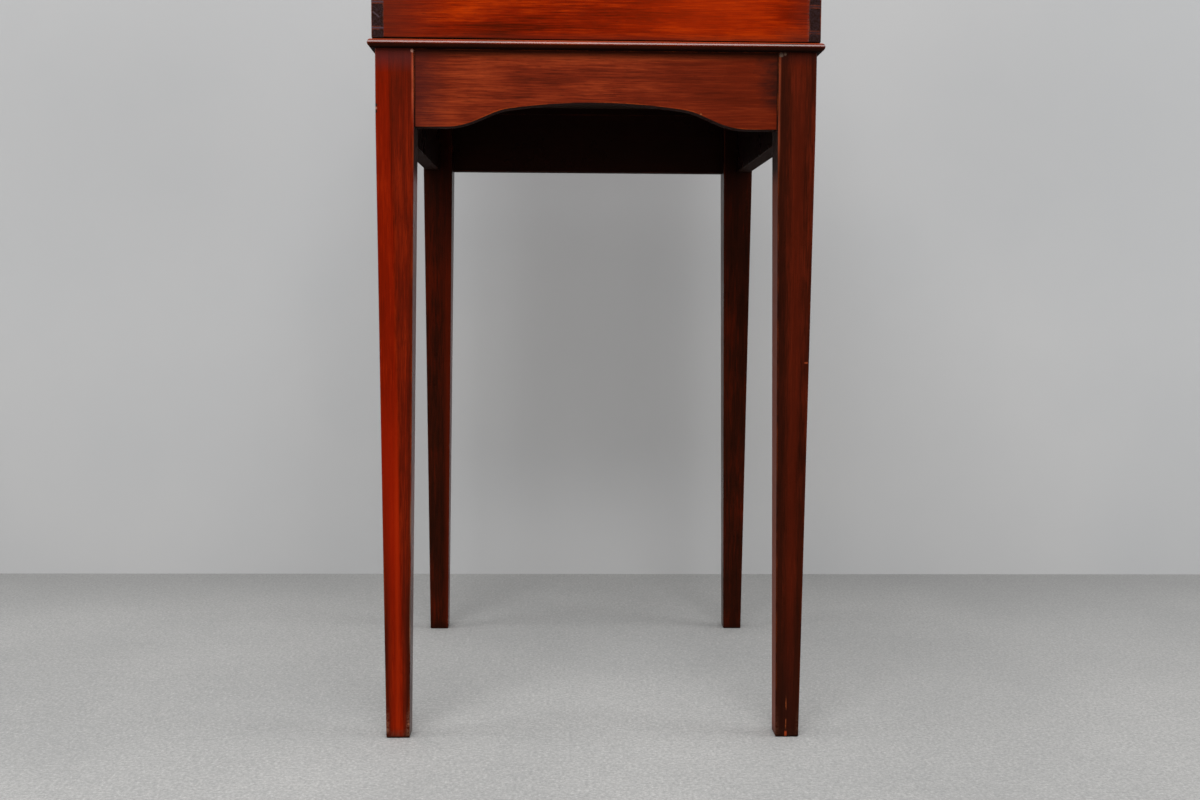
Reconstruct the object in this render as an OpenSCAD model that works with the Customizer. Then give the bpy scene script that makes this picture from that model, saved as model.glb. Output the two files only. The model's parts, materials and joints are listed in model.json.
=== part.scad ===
// Standing writing desk: a sloped desk box on a stand with square tapered legs.
// Millimetres. The front faces -Y and +Z is up. The origin is on the floor, at
// the middle of the overall footprint.

/* [Stand] */
// Width over the legs
stand_w = 588; // [520:1:680]
// Depth over the legs
stand_d = 660; // [560:1:720]
// Height of the leg tops
stand_h = 937; // [700:1:1000]
// Side of a square leg above its taper
leg_s = 50.8; // [46:0.1:58]
// How far the outer faces of a leg draw in at the foot
taper_out = 7.9; // [0:0.1:10]
// How far the inner faces of a leg draw in at the foot
taper_in = 10.7; // [2:0.1:14]
// Width of the flat worn along each arris of a leg
arris = 1.4; // [0.6:0.1:2.5]
// Height of the worn chamfer round each foot
foot_chamfer = 1.6; // [0.8:0.1:3]

/* [Rails] */
// Height of the rails and of the apron's ends
rail_h = 102; // [90:1:120]
// Thickness of the rails and the apron
rail_t = 24; // [20:0.5:26]
// Setback of the apron's face behind the legs
apron_back = 2; // [1:0.1:4]
// Setback of the side and back rails behind the legs
rail_back = 3.6; // [1:0.1:5]
// Length of a tenon
tenon_l = 27; // [20:0.5:28]
// Thickness of a tenon
tenon_t = 9.5; // [7:0.5:11]
// Shoulder below a tenon
tenon_low = 8; // [5:0.5:14]
// Haunch above a tenon
tenon_top = 18; // [12:0.5:24]
// Length of the haunch
haunch_l = 7; // [4:0.5:10]
// Empty depth at the bottom of a mortise
mortise_play = 1; // [0.5:0.1:1.5]

/* [Apron arch] */
// Flat stretch at each end of the apron
arch_end = 37; // [20:1:60]
// Rise of the arch at its middle
arch_rise = 33.5; // [20:0.5:44]
// Width of each ogee shoulder
shoulder_w = 88; // [60:1:110]
// Drop of the arch's own curve from its middle to its ends
arch_sag = 26.5; // [16:0.5:30]
// Number of flats along the arch
arch_steps = 96; // [48:1:128]

/* [Base moulding] */
// Thickness of the moulding, which is also the height of its round nose
mould_t = 11.5; // [9:0.5:16]
// Projection of the nose beyond the legs
nose_out = 9.2; // [8:0.1:14]

/* [Glue blocks] */
// Length of a glue block along its rail
block_l = 44; // [30:1:60]
// Reach of a glue block below the leg tops
block_drop = 22; // [20:1:40]
// Radius of the screw that holds the box down
stay_screw_r = 2.5; // [2:0.1:3]
// Length of that screw
stay_screw_l = 38; // [30:1:39]
// Radius of its head
stay_head_r = 4.6; // [4:0.1:5.5]
// Depth that it bites into the box bottom
stay_bite = 7.5; // [5:0.5:8.5]

/* [Desk box] */
// Overhang of the box beyond the legs at the front and sides
box_over = 3.8; // [0:0.1:6]
// Thickness of the front, back and side boards
board_t = 16; // [13:0.5:18]
// Height of the box at its front
front_h = 126; // [100:1:160]
// Slope of the lid in degrees
slope = 15; // [10:0.5:20]
// Depth of the level ledge behind the lid
ledge_d = 130; // [115:1:160]
// Thickness of the ledge
ledge_t = 16; // [15:0.5:20]
// Shadow line between the boards and the moulding
shadow_gap = 1.4; // [0.5:0.1:2]
// Thickness of the bottom board
bottom_t = 10; // [9:0.1:10.4]
// Reach of the bottom board into the rebate of the box
rebate = 8; // [5:0.5:10]

/* [Dovetails] */
// Height of the half tail at each end of a row
end_tail = 12.5; // [12:0.1:16]
// Wanted distance from pin to pin
pin_pitch = 33.7; // [26:0.1:44]
// Width of a pin at its narrow end
pin_neck = 2.3; // [1.6:0.1:3]
// Slope of the sides of a pin in degrees
pin_angle = 8; // [5:0.5:8]

/* [Lid] */
// Thickness of the lid
lid_t = 16; // [15:0.5:20]
// Overhang of the lid and ledge beyond the box
lid_over = 4.6; // [2:0.1:5]
// Radius of the rounded upper edge of the lid and ledge
edge_r = 5; // [2:0.5:8]
// Width of the cleats across the grain at both ends of the lid
cleat_w = 56; // [40:1:80]
// Length of the tongue in the cleats
tongue_l = 9; // [5:0.5:14]
// Thickness of the tongue
tongue_t = 5; // [3:0.5:6]
// Stop of the tongue short of the lid's edges
tongue_stop = 16; // [10:1:30]
// Gap between the lid and what it rests on
rest_gap = 0.3; // [0.2:0.1:0.6]
// Gap between the lid and the ledge
joint_gap = 1; // [0.8:0.1:1.6]
// Width of the book rest
rest_w = 9; // [6:0.5:14]
// Height of the book rest above the lid
rest_h = 10; // [8:0.5:16]
// Depth of the book rest's housing in the lid
rest_seat = 1.5; // [1:0.1:3]
// Setback of the book rest from the lid's front edge
rest_in = 9; // [6:0.5:20]
// Stop of the book rest short of the lid's ends
rest_stop = 22; // [10:1:60]

/* [Hinges] */
// Length of a hinge
hinge_l = 60; // [50:1:76]
// Number of knuckles
knuckles = 5; // [3:2:7]
// Distance from the end of the lid to the middle of a hinge
hinge_in = 122.4; // [110:0.1:160]
// Radius of the barrel
barrel_r = 3; // [2.6:0.1:3.4]
// Radius of the pin
pin_r = 1.4; // [1:0.1:1.6]
// Radial clearance of the pin
pin_play = 0.05; // [0.03:0.01:0.1]
// Thickness of a leaf
leaf_t = 1.6; // [1.3:0.1:1.8]
// Height of a leaf below the axis
leaf_h = 13; // [12:0.5:14]
// Height of the axis above the desk's upper surface
axis_rise = 1; // [0.6:0.1:1.4]
// Gap between the two leaves, and between knuckles
leaf_gap = 0.3; // [0.2:0.1:0.5]
// Radius of the shank of a brass screw
screw_r = 1.5; // [1.2:0.1:1.7]
// Radius of the head of a brass screw
screw_head_r = 3; // [2.8:0.1:3.2]
// Length of a hinge screw
hinge_screw_l = 16; // [12:1:20]
// Distance between the screws of a leaf
hinge_screw_gap = 20; // [16:1:22]
// Radial clearance round a screw
screw_play = 0.05; // [0.02:0.01:0.1]

/* [Lock] */
// Width of the lock's plate
lock_w = 62; // [56:1:76]
// Height of the lock's plate
lock_h = 44; // [43:1:56]
// Thickness of the lock's plate and of the strike plate
plate_t = 1.8; // [1.4:0.1:2.2]
// Width of the lock's case
case_w = 46; // [40:1:48]
// Depth of the lock's case behind its plate
case_d = 8.5; // [7.5:0.5:9]
// Length of the bolt, which slides sideways
bolt_l = 14; // [13:0.5:15]
// Thickness of the bolt
bolt_t = 4; // [3:0.1:4.4]
// Height of the bolt's nose
bolt_h = 4.4; // [4:0.1:5]
// Height of the gap between the bolt's nose and its arm, where the hook hangs
bolt_throat = 6.6; // [6:0.2:7]
// Depth that the key's bit enters the talon, the notch under the bolt's arm
talon_d = 2.5; // [2:0.1:3]
// Width of the talon
talon_w = 5.2; // [4.8:0.2:6]
// Length of the arm past the talon
talon_end = 3.5; // [3:0.5:4]
// Travel of the bolt
bolt_travel = 7; // [5:0.5:7]
// Gap round the bolt
bolt_gap = 0.3; // [0.2:0.1:0.4]
// Distance of the keyhole below the front board's upper edge
key_drop = 26; // [24:1:28]
// Radius of the keyhole's round end
key_r = 2.6; // [2.2:0.1:3]
// Length of the keyhole below the middle of its round end
key_l = 8; // [6:0.5:10]
// Width of the keyhole's straight end
key_w = 2.4; // [2:0.1:3]
// Wall of the escutcheon round the keyhole
escutcheon_wall = 1.6; // [1:0.1:2.4]
// Depth of the escutcheon
escutcheon_d = 2; // [1.5:0.1:4]
// Length of the screws of the lock and of its strike plate
lock_screw_l = 8; // [6:0.5:10]
// Distance of the lock's screws from the plate's lower edge, and half that from its upper one
lock_screw_in = 6; // [5:0.5:7]
// Depth of the strike plate up the slope
strike_d = 11.6; // [10:0.2:12]
// Distance of the strike plate's screws from its ends
strike_screw_in = 10; // [8:1:12]
// Width of the hook under the strike plate
hook_w = 10; // [9:0.5:11]
// Thickness of the hook
hook_t = 2.5; // [2:0.1:2.6]
// Height of the hook's lip, which the bolt holds down
hook_lip = 1.8; // [1.5:0.1:2]
// Gap above and below the bolt in the hook
hook_gap = 0.6; // [0.5:0.1:0.7]
// Gap between the hook and the bolt when it is drawn back
hook_clear = 0.8; // [0.6:0.1:1]
// Gap round the hook in the lock
slot_gap = 0.7; // [0.6:0.05:0.8]

/* [Fitting under the ledge] */
// Depth of the uprights and shelves
nest_d = 108; // [96:1:112]
// Thickness of the uprights and shelves
nest_t = 8; // [6:0.5:10]
// Height of the drawer openings
drawer_bay_h = 62; // [50:1:80]
// Height of the pigeonholes between the two shelves
pigeonhole_h = 86; // [60:1:90]

/* [Drawers] */
// Gap at each side of a drawer
drawer_side_gap = 0.7; // [0.4:0.1:1.2]
// Gap below a drawer
drawer_low_gap = 0.3; // [0.2:0.1:0.6]
// Gap above a drawer
drawer_top_gap = 0.9; // [0.5:0.1:2]
// Gap behind a drawer
drawer_back_gap = 3; // [2:0.5:6]
// Thickness of a drawer front
drawer_front_t = 12; // [10:0.5:14]
// Thickness of a drawer's sides and back
drawer_side_t = 6; // [5:0.5:8]
// Thickness of a drawer's bottom
drawer_bottom_t = 4; // [3:0.5:5]
// Wood left in front of the lapped dovetails
lap = 4; // [3:0.5:5]
// Width of a pin of those dovetails at its narrow end
drawer_pin = 4.6; // [3:0.2:6]
// Depth of the groove for a drawer's bottom
groove = 2.5; // [2:0.5:3]
// Height of that groove above the drawer's lower edge
groove_up = 4; // [3:0.5:6]
// Radius of the head of a drawer knob
knob_r = 8; // [6:0.5:10]
// Projection of a drawer knob
knob_l = 15; // [12:0.5:20]
// Radius of a knob's foot
knob_foot_r = 6; // [4:0.1:7]
// Height of a knob's foot
knob_foot_h = 1.8; // [1:0.1:2.4]
// Radius where a knob's waist meets its head
knob_neck_r = 5.4; // [4:0.1:5.8]
// Radius of a knob's waist
knob_waist_r = 3.4; // [2.6:0.1:3.8]
// Height of the rounding on each side of a knob's widest part
knob_head_h = 4.8; // [3:0.1:5.4]
// Radius of a knob's spigot
spigot_r = 3; // [2:0.5:4]

/* [Hidden] */
$fn = 48;

// Colours of the polished mahogany, the plain wood inside, brass and steel
mahogany = [0.44, 0.12, 0.06];
dark_mahogany = [0.30, 0.09, 0.06];
plain_wood = [0.52, 0.30, 0.17];
brass = [0.72, 0.55, 0.27];
steel = [0.45, 0.45, 0.46];

// A cut reaches this far past the face that it opens, and a tenon as far into its rail
past = 1;
// Overlap of two shapes that make one form
overlap = 0.01;

// Places of the stand
total_w = stand_w + 2 * nose_out;
total_d = stand_d + nose_out;
y_legs = nose_out - total_d / 2;
y_back = total_d / 2;
knee_h = stand_h - rail_h;
tenon_h = rail_h - tenon_low - tenon_top;
apron_w = stand_w - 2 * leg_s;
side_rail_w = stand_d - 2 * leg_s;
arch_half = apron_w / 2 - arch_end;
mould_in = apron_back + rail_t;
mould_w = nose_out + mould_in;
fillet_w = rail_back + rail_t;

// Places of the box
box_w = stand_w + 2 * box_over;
box_d = stand_d + box_over;
y_box = y_legs - box_over;
z_box = stand_h + mould_t;
z_sides = z_box + shadow_gap;
z_floor = z_box + bottom_t;
inner_x = box_w / 2 - board_t;
run = box_d - ledge_d;
back_h = front_h + run * tan(slope);
z_front = z_sides + front_h;
z_ledge = z_sides + back_h;
pin_flare = board_t * tan(pin_angle);

// Height of the box's sloped upper edge at a distance from the front
function slope_z(y) = z_front + (y - y_box) * tan(slope);

// Places of the lid, in the frame of its slope: x, up the slope, out of it
lid_w = box_w + 2 * lid_over;
hinge_x = lid_w / 2 - hinge_in;
lid_top = rest_gap + lid_t;
hinge_u = (z_ledge + ledge_t - z_front - lid_top * cos(slope)) / sin(slope);
y_hinge = y_box + hinge_u * cos(slope) - lid_top * sin(slope);
z_hinge = z_ledge + ledge_t;
lid_end = hinge_u - joint_gap / 2;
lid_front = -(lid_over - (lid_top - edge_r) * sin(slope) - edge_r * (1 - cos(slope))) / cos(slope);
cleat_x = lid_w / 2 - cleat_w;
tongue_v = rest_gap + (lid_t - tongue_t) / 2;
lid_lean = lid_t * tan(slope / 2);

// Places of the fitting and the drawers
y_inside = y_back - board_t;
y_nest = y_inside - nest_d;
bay_w = (2 * inner_x - 2 * nest_t) / 3;
upright_x = bay_w / 2;
z_lower = z_floor + drawer_bay_h;
z_upper = z_lower + nest_t + pigeonhole_h;
drawer_w = bay_w - 2 * drawer_side_gap;
drawer_h = drawer_bay_h - drawer_low_gap - drawer_top_gap;
drawer_d = nest_d - drawer_back_gap;
drawer_x = bay_w + nest_t;

// Places of the lock
y_inner = y_box + board_t;
y_plate = y_inner - plate_t;
y_flange = y_plate - case_d - plate_t;
y_bolt = y_plate - case_d / 2 - bolt_t / 2;
z_plate = slope_z(y_inner) - lock_h;
z_bolt_top = slope_z(y_bolt) - plate_t / cos(slope) - bolt_gap;
x_nose = -hook_w / 2 - hook_clear;
x_tail = x_nose - bolt_l;
z_key = z_front - key_drop;
z_step = z_bolt_top - bolt_h;
z_arm_top = z_step - bolt_throat;
z_arm_low = z_key + key_l - talon_d;
x_throat = x_nose - bolt_travel;
x_talon = -bolt_travel / 2;
x_arm = x_talon + talon_w / 2 + talon_end;

// Places of the hook, in the frame of the slope: its middle up the slope, the middle
// of its notch and its lowest edge
hook_v = (y_bolt + bolt_t / 2 - y_box) * cos(slope) + (z_bolt_top - bolt_h / 2 - z_front) * sin(slope);
notch_n = (z_bolt_top - bolt_h / 2 - z_front) * cos(slope) - (y_bolt + bolt_t / 2 - y_box) * sin(slope);
notch_half = bolt_h / 2 + hook_gap;
hook_low = notch_n - notch_half - hook_lip;
notch_end = x_nose + bolt_travel + hook_gap;

// Places of the strike plate's lower edge, upper edge and screws
strike_low = hook_v - strike_d / 2;
strike_high = hook_v + strike_d / 2;
strike_screw_x = lock_w / 2 - strike_screw_in;

// Shapes that other modules share

// Extrudes a shape drawn in Y and Z along X
module along_x(x0, x1) {
    translate([x0, 0, 0]) rotate([90, 0, 90]) linear_extrude(x1 - x0) children();
}

// Extrudes a shape drawn in X and Z along Y
module along_y(y0, y1) {
    translate([0, y1, 0]) rotate([90, 0, 0]) linear_extrude(y1 - y0) children();
}

// A box from its lowest to its highest corner
module block(low, high) {
    translate(low) cube(high - low);
}

// Moves a shape into the frame of the lid's slope
module on_slope() {
    translate([0, y_box, z_front]) rotate([slope, 0, 0]) children();
}

// Moves a shape to the hinge axis, with the joint between lid and ledge at y = 0
module on_hinge() {
    translate([0, y_hinge, z_hinge]) rotate([slope / 2, 0, 0]) translate([0, 0, axis_rise]) children();
}

// Puts a corner piece, drawn with the leg's outer corner at the origin, at one corner
module at_corner(right, back) {
    translate([right ? stand_w / 2 : -stand_w / 2, back ? y_back : y_legs, 0])
        mirror([right ? 1 : 0, 0, 0]) mirror([0, back ? 1 : 0, 0]) children();
}

// A countersunk screw that points along +Y, with its head's face at y = 0 and a
// head as deep as the plate that it holds
module screw_along_y(length, plate, play) {
    rotate([-90, 0, 0]) {
        cylinder(r1 = screw_head_r + play, r2 = screw_r + play, h = plate);
        translate([0, 0, plate - overlap]) cylinder(r = screw_r + play, h = length - plate + play);
    }
}

// The stand

// A leg seen square on, with its outer face at 0
function leg_view() = [
    [taper_out + foot_chamfer, 0], [leg_s - taper_in - foot_chamfer, 0],
    [leg_s - taper_in, foot_chamfer], [leg_s, knee_h], [leg_s, stand_h],
    [0, stand_h], [0, knee_h], [taper_out, foot_chamfer]
];

// A leg seen along the diagonal through its outer arris, less the worn flats
function leg_view_through() = [
    [taper_out * sqrt(2) + arris / 2, 0], [(leg_s - taper_in) * sqrt(2) - arris / 2, 0],
    [leg_s * sqrt(2) - arris / 2, knee_h], [leg_s * sqrt(2) - arris / 2, stand_h],
    [arris / 2, stand_h], [arris / 2, knee_h]
];

// A leg seen along the other diagonal
function leg_view_across() =
    let (foot = (leg_s - taper_in - taper_out) / sqrt(2) - arris / 2,
         top = leg_s / sqrt(2) - arris / 2)
    [[-foot, 0], [foot, 0], [top, knee_h], [top, stand_h], [-top, stand_h], [-top, knee_h]];

// The mortise and haunch for a rail that runs along X
module mortise(face_back) {
    tenon_y = face_back + (rail_t - tenon_t) / 2;
    block([leg_s - tenon_l - mortise_play, tenon_y, knee_h + tenon_low],
          [leg_s + past, tenon_y + tenon_t, stand_h - tenon_top]);
    block([leg_s - haunch_l, tenon_y, stand_h - tenon_top - overlap],
          [leg_s + past, tenon_y + tenon_t, stand_h + past]);
}

// One leg: its four silhouettes intersected, less its two mortises
module leg(cross_back) {
    difference() {
        intersection() {
            along_y(0, leg_s) polygon(leg_view());
            along_x(0, leg_s) polygon(leg_view());
            rotate([0, 0, 45]) along_y(-2 * leg_s, 2 * leg_s) polygon(leg_view_through());
            rotate([0, 0, -45]) along_y(-2 * leg_s, 2 * leg_s) polygon(leg_view_across());
        }
        mortise(cross_back);
        mirror([1, -1, 0]) mortise(rail_back);
    }
}

module leg_front_left() { color(mahogany) at_corner(false, false) leg(apron_back); }
module leg_front_right() { color(mahogany) at_corner(true, false) leg(apron_back); }
module leg_back_left() { color(mahogany) at_corner(false, true) leg(rail_back); }
module leg_back_right() { color(mahogany) at_corner(true, true) leg(rail_back); }

// A rail along X with its outer face at y = 0, and a haunched tenon at each end
module rail(length) {
    tenon_y = (rail_t - tenon_t) / 2;
    block([-length / 2, 0, knee_h], [length / 2, rail_t, stand_h]);
    for (turn = [0, 1]) mirror([turn, 0, 0]) {
        block([length / 2 - past, tenon_y, knee_h + tenon_low],
              [length / 2 + tenon_l, tenon_y + tenon_t, stand_h - tenon_top]);
        block([length / 2 - past, tenon_y, knee_h + tenon_low],
              [length / 2 + haunch_l, tenon_y + tenon_t, stand_h]);
    }
}

// Height of the apron's lower edge above its ends: a shallow arch that eases
// out through a half cosine at each shoulder
function arch_z(x) =
    let (from_shoulder = max(0, abs(x) - (arch_half - shoulder_w)) / shoulder_w,
         ease = (1 + cos(180 * from_shoulder)) / 2)
    ease * (arch_rise - arch_sag * pow(x / arch_half, 2));

module front_apron() {
    arch = [for (i = [0 : arch_steps]) let (x = arch_half * (2 * i / arch_steps - 1)) [x, knee_h + arch_z(x)]];
    color(mahogany) translate([0, y_legs + apron_back, 0]) difference() {
        rail(apron_w);
        along_y(-past, rail_t + past)
            polygon(concat([[-arch_half, knee_h - past]], arch, [[arch_half, knee_h - past]]));
    }
}

module back_rail() {
    color(mahogany) translate([0, y_back - rail_back, 0]) mirror([0, 1, 0]) rail(apron_w);
}

// A side rail, drawn for the left side
module side_rail() {
    translate([rail_back - stand_w / 2, y_back - stand_d / 2, 0]) rotate([0, 0, -90]) rail(side_rail_w);
}

module side_rail_left() { color(mahogany) side_rail(); }
module side_rail_right() { color(mahogany) mirror([1, 0, 0]) side_rail(); }

// The moulding between stand and box: a strip with a round nose along y = 0
module nosed_strip(length) {
    nose = mould_t / 2;
    block([-length / 2, nose, stand_h], [length / 2, mould_w, z_box]);
    translate([-length / 2, nose, stand_h + nose]) rotate([0, 90, 0]) cylinder(r = nose, h = length);
}

module moulding_front() {
    half = total_w / 2;
    color(mahogany) translate([0, -total_d / 2, 0]) intersection() {
        nosed_strip(total_w);
        translate([0, 0, stand_h - past]) linear_extrude(mould_t + 2 * past)
            polygon([[-half, 0], [half, 0], [half - mould_w, mould_w], [mould_w - half, mould_w]]);
    }
}

// The return along the left side, mitred at its front end
module moulding_return() {
    translate([-total_w / 2, 0, 0]) intersection() {
        rotate([0, 0, -90]) nosed_strip(total_d);
        translate([0, 0, stand_h - past]) linear_extrude(mould_t + 2 * past)
            polygon([[0, -total_d / 2], [mould_w, mould_w - total_d / 2], [mould_w, y_back], [0, y_back]]);
    }
}

module moulding_left() { color(mahogany) moulding_return(); }
module moulding_right() { color(mahogany) mirror([1, 0, 0]) moulding_return(); }

module back_fillet() {
    half = total_w / 2 - mould_w;
    color(dark_mahogany) block([-half, y_back - fillet_w, stand_h], [half, y_back, z_box]);
}

// Where a hold-down screw stands, from the leg's outer corner
stay_x = (rail_back + rail_t + leg_s) / 2;
stay_y = leg_s + block_l / 2;
z_stay_head = z_box + stay_bite - stay_screw_l;

// A glue block in the corner between a leg and a side rail, with its screw hole
module glue_block() {
    difference() {
        block([rail_back + rail_t, leg_s, stand_h - block_drop], [leg_s, leg_s + block_l, z_box]);
        translate([stay_x, stay_y, stand_h - block_drop - past])
            cylinder(r = stay_head_r + screw_play, h = z_stay_head + stay_screw_r - stand_h + block_drop + past);
        translate([stay_x, stay_y, stand_h - block_drop])
            cylinder(r = stay_screw_r + screw_play, h = z_box - stand_h + block_drop + past);
    }
}

module glue_blocks() {
    color(dark_mahogany) for (right = [false, true], back = [false, true]) at_corner(right, back) glue_block();
}

// The screws up through the glue blocks, or their holes in the box bottom
module stay_screw_set(play) {
    for (right = [false, true], back = [false, true]) at_corner(right, back)
        translate([stay_x, stay_y, z_stay_head]) {
            cylinder(r = stay_screw_r + play, h = stay_screw_l + play);
            cylinder(r = stay_head_r, h = stay_screw_r);
        }
}

module stay_screws() { color(steel) stay_screw_set(0); }

// The box

// Heights of the pins along a corner of a given height
function pin_heights(height) =
    let (gaps = max(1, round((height - 2 * end_tail) / pin_pitch)))
    [for (i = [0 : gaps]) end_tail + i * (height - 2 * end_tail) / gaps];

// The pins through one corner pair, drawn across the whole width; the corner's
// outer face is at y = 0 and the pins widen towards +Y
module pins(height) {
    half_neck = pin_neck / 2;
    for (z = pin_heights(height)) along_x(-box_w / 2, box_w / 2) polygon([
        [0, z_sides + z - half_neck], [board_t, z_sides + z - half_neck - pin_flare],
        [board_t, z_sides + z + half_neck + pin_flare], [0, z_sides + z + half_neck]
    ]);
}

module front_pins() { translate([0, y_box, 0]) pins(front_h); }
module back_pins() { translate([0, y_back, 0]) mirror([0, 1, 0]) pins(back_h); }

// The bottom board, which is also the rebate round the box
module bottom_board() {
    half = box_w / 2 - board_t + rebate;
    block([-half, y_box + board_t - rebate, z_box], [half, y_back - board_t + rebate, z_floor]);
}

// The lock's form: a plate bent over the board's edge and a case behind it; with a
// reach beyond the board's faces it is the lock's space
module lock_form(reach) {
    flange = plate_t / cos(slope);
    middle = y_plate + plate_t / 2;
    along_x(-lock_w / 2, lock_w / 2) polygon([
        [y_plate, z_plate], [y_inner + reach, z_plate],
        [y_inner + reach, slope_z(y_inner + reach) + reach], [y_flange, slope_z(y_flange) + reach],
        [y_flange, slope_z(y_flange) - flange], [y_plate, slope_z(y_plate) - flange]
    ]);
    along_x(-case_w / 2, case_w / 2) polygon([
        [y_plate - case_d, z_plate + plate_t], [middle, z_plate + plate_t],
        [middle, slope_z(middle) + reach], [y_plate - case_d, slope_z(y_plate - case_d) + reach]
    ]);
}

// The keyhole, or with a wall round it the escutcheon's outline
module keyhole(wall, y0, y1) {
    translate([0, y0, z_key]) rotate([-90, 0, 0]) cylinder(r = key_r + wall, h = y1 - y0);
    block([-key_w / 2 - wall, y0, z_key - key_l - wall], [key_w / 2 + wall, y1, z_key]);
}

module box_front() {
    color(mahogany) difference() {
        union() {
            along_x(-inner_x, inner_x) polygon([
                [y_box, z_sides], [y_inner, z_sides], [y_inner, slope_z(y_inner)], [y_box, z_front]
            ]);
            front_pins();
        }
        bottom_board();
        lock_form(past);
        lock_screw_set(screw_play);
        keyhole(0, y_box - past, y_plate);
        keyhole(escutcheon_wall, y_box - past, y_box + escutcheon_d);
    }
}

module box_back() {
    color(mahogany) difference() {
        union() {
            block([-inner_x, y_inside, z_sides], [inner_x, y_back, z_ledge]);
            back_pins();
        }
        bottom_board();
    }
}

// A side board at the left: the tails are what the sockets of the pins leave
module box_side() {
    difference() {
        along_x(-box_w / 2, -inner_x) polygon([
            [y_box, z_sides], [y_back, z_sides], [y_back, z_ledge],
            [y_box + run, z_ledge], [y_box, z_front]
        ]);
        front_pins();
        back_pins();
        bottom_board();
    }
}

module box_side_left() { color(dark_mahogany) box_side(); }
module box_side_right() { color(dark_mahogany) mirror([1, 0, 0]) box_side(); }

module box_bottom() {
    color(plain_wood) difference() {
        bottom_board();
        stay_screw_set(screw_play);
    }
}

// A board's end view with its upper outer edge rounded: from 0 to length, and
// from the lower face at low up to high
module rounded_edge(length, low, high) {
    union() {
        translate([edge_r, low]) square([length - edge_r, high - low]);
        translate([0, low]) square([length, high - low - edge_r]);
        translate([edge_r, high - edge_r]) circle(edge_r);
    }
}

// The same, with both upper edges rounded, centred on 0
module rounded_edges(width, low, high) {
    for (turn = [0, 1]) mirror([turn, 0]) translate([-width / 2, 0]) rounded_edge(width / 2, low, high);
}

// The ledge: its front edge is bevelled to meet the lid
module top_ledge() {
    y_lip = y_hinge + joint_gap / 2;
    color(mahogany) difference() {
        intersection() {
            along_x(-lid_w / 2, lid_w / 2) polygon([
                [y_lip, z_hinge], [y_back, z_hinge], [y_back, z_ledge],
                [y_lip + ledge_t * tan(slope / 2), z_ledge]
            ]);
            along_y(y_hinge - past, y_back + past) rounded_edges(lid_w, z_ledge, z_hinge);
        }
        for (x = [-hinge_x, hinge_x]) on_hinge() translate([x, 0, 0]) hinge_space();
        on_hinge() hinge_screw_set(screw_play);
    }
}

// The hinges

// The housing for a hinge in the boards on both sides of the joint
module hinge_space() {
    reach = leaf_t + leaf_gap / 2;
    rotate([0, 90, 0]) cylinder(r = barrel_r + leaf_gap, h = hinge_l + 2 * leaf_gap, center = true);
    block([-hinge_l / 2, -reach, -leaf_h], [hinge_l / 2, reach, past]);
}

// The span of one knuckle along the barrel
function knuckle_from(i) = -hinge_l / 2 + i * hinge_l / knuckles;

// A leaf on the +Y side: plate and its knuckles, the even or the odd ones
module leaf(first) {
    face = leaf_gap / 2;
    difference() {
        union() {
            block([-hinge_l / 2, face, -leaf_h], [hinge_l / 2, face + leaf_t, 0]);
            for (i = [first : 2 : knuckles - 1])
                translate([knuckle_from(i) + (i == 0 ? 0 : leaf_gap / 2), 0, 0]) rotate([0, 90, 0])
                    cylinder(r = barrel_r, h = hinge_l / knuckles - leaf_gap / (i == 0 || i == knuckles - 1 ? 2 : 1));
        }
        for (i = [1 - first : 2 : knuckles - 1])
            translate([knuckle_from(i) - leaf_gap / 2, 0, 0]) rotate([0, 90, 0])
                cylinder(r = barrel_r + leaf_gap, h = hinge_l / knuckles + leaf_gap);
        rotate([0, 90, 0]) cylinder(r = pin_r + pin_play, h = hinge_l + 2 * past, center = true);
        leaf_screws(screw_play);
    }
}

// The three screws of a leaf on the +Y side
module leaf_screws(play) {
    for (x = [-hinge_screw_gap, 0, hinge_screw_gap])
        translate([x, leaf_gap / 2, -(leaf_h + barrel_r) / 2]) screw_along_y(hinge_screw_l, leaf_t, play);
}

module hinge_screw_set(play) {
    for (x = [-hinge_x, hinge_x]) translate([x, 0, 0]) leaf_screws(play);
}

module fixed_leaf(x) { color(brass) on_hinge() translate([x, 0, 0]) leaf(0); }
module lid_leaf(x) { color(brass) on_hinge() translate([x, 0, 0]) mirror([0, 1, 0]) leaf(1); }
module hinge_pin(x) {
    color(brass) on_hinge() translate([x, 0, 0]) rotate([0, 90, 0]) cylinder(r = pin_r, h = hinge_l, center = true);
}

module hinge_left_fixed_leaf() { fixed_leaf(-hinge_x); }
module hinge_left_lid_leaf() { lid_leaf(-hinge_x); }
module hinge_left_pin() { hinge_pin(-hinge_x); }
module hinge_right_fixed_leaf() { fixed_leaf(hinge_x); }
module hinge_right_lid_leaf() { lid_leaf(hinge_x); }
module hinge_right_pin() { hinge_pin(hinge_x); }
module hinge_screws_ledge() { color(brass) on_hinge() hinge_screw_set(0); }
module hinge_screws_lid() { color(brass) on_hinge() mirror([0, 1, 0]) hinge_screw_set(0); }

// The lid, in the frame of its slope

// Half the length of the book rest, and its lower edge up the slope
rest_half = lid_w / 2 - rest_stop;
rest_low = lid_front + rest_in;

// The whole lid, housed for the book rest, before it is divided into panel and cleats
module lid_form() {
    difference() {
        intersection() {
            along_x(-lid_w / 2, lid_w / 2) difference() {
                translate([lid_front, 0]) rounded_edge(lid_end - lid_front, rest_gap, lid_top);
                polygon([[lid_end, lid_top], [lid_end + past, lid_top], [lid_end + past, rest_gap],
                         [lid_end - lid_lean, rest_gap]]);
            }
            along_y(lid_front - past, lid_end + past) rounded_edges(lid_w, rest_gap, lid_top);
        }
        block([-rest_half, rest_low, lid_top - rest_seat], [rest_half, rest_low + rest_w, lid_top + past]);
    }
}

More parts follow.
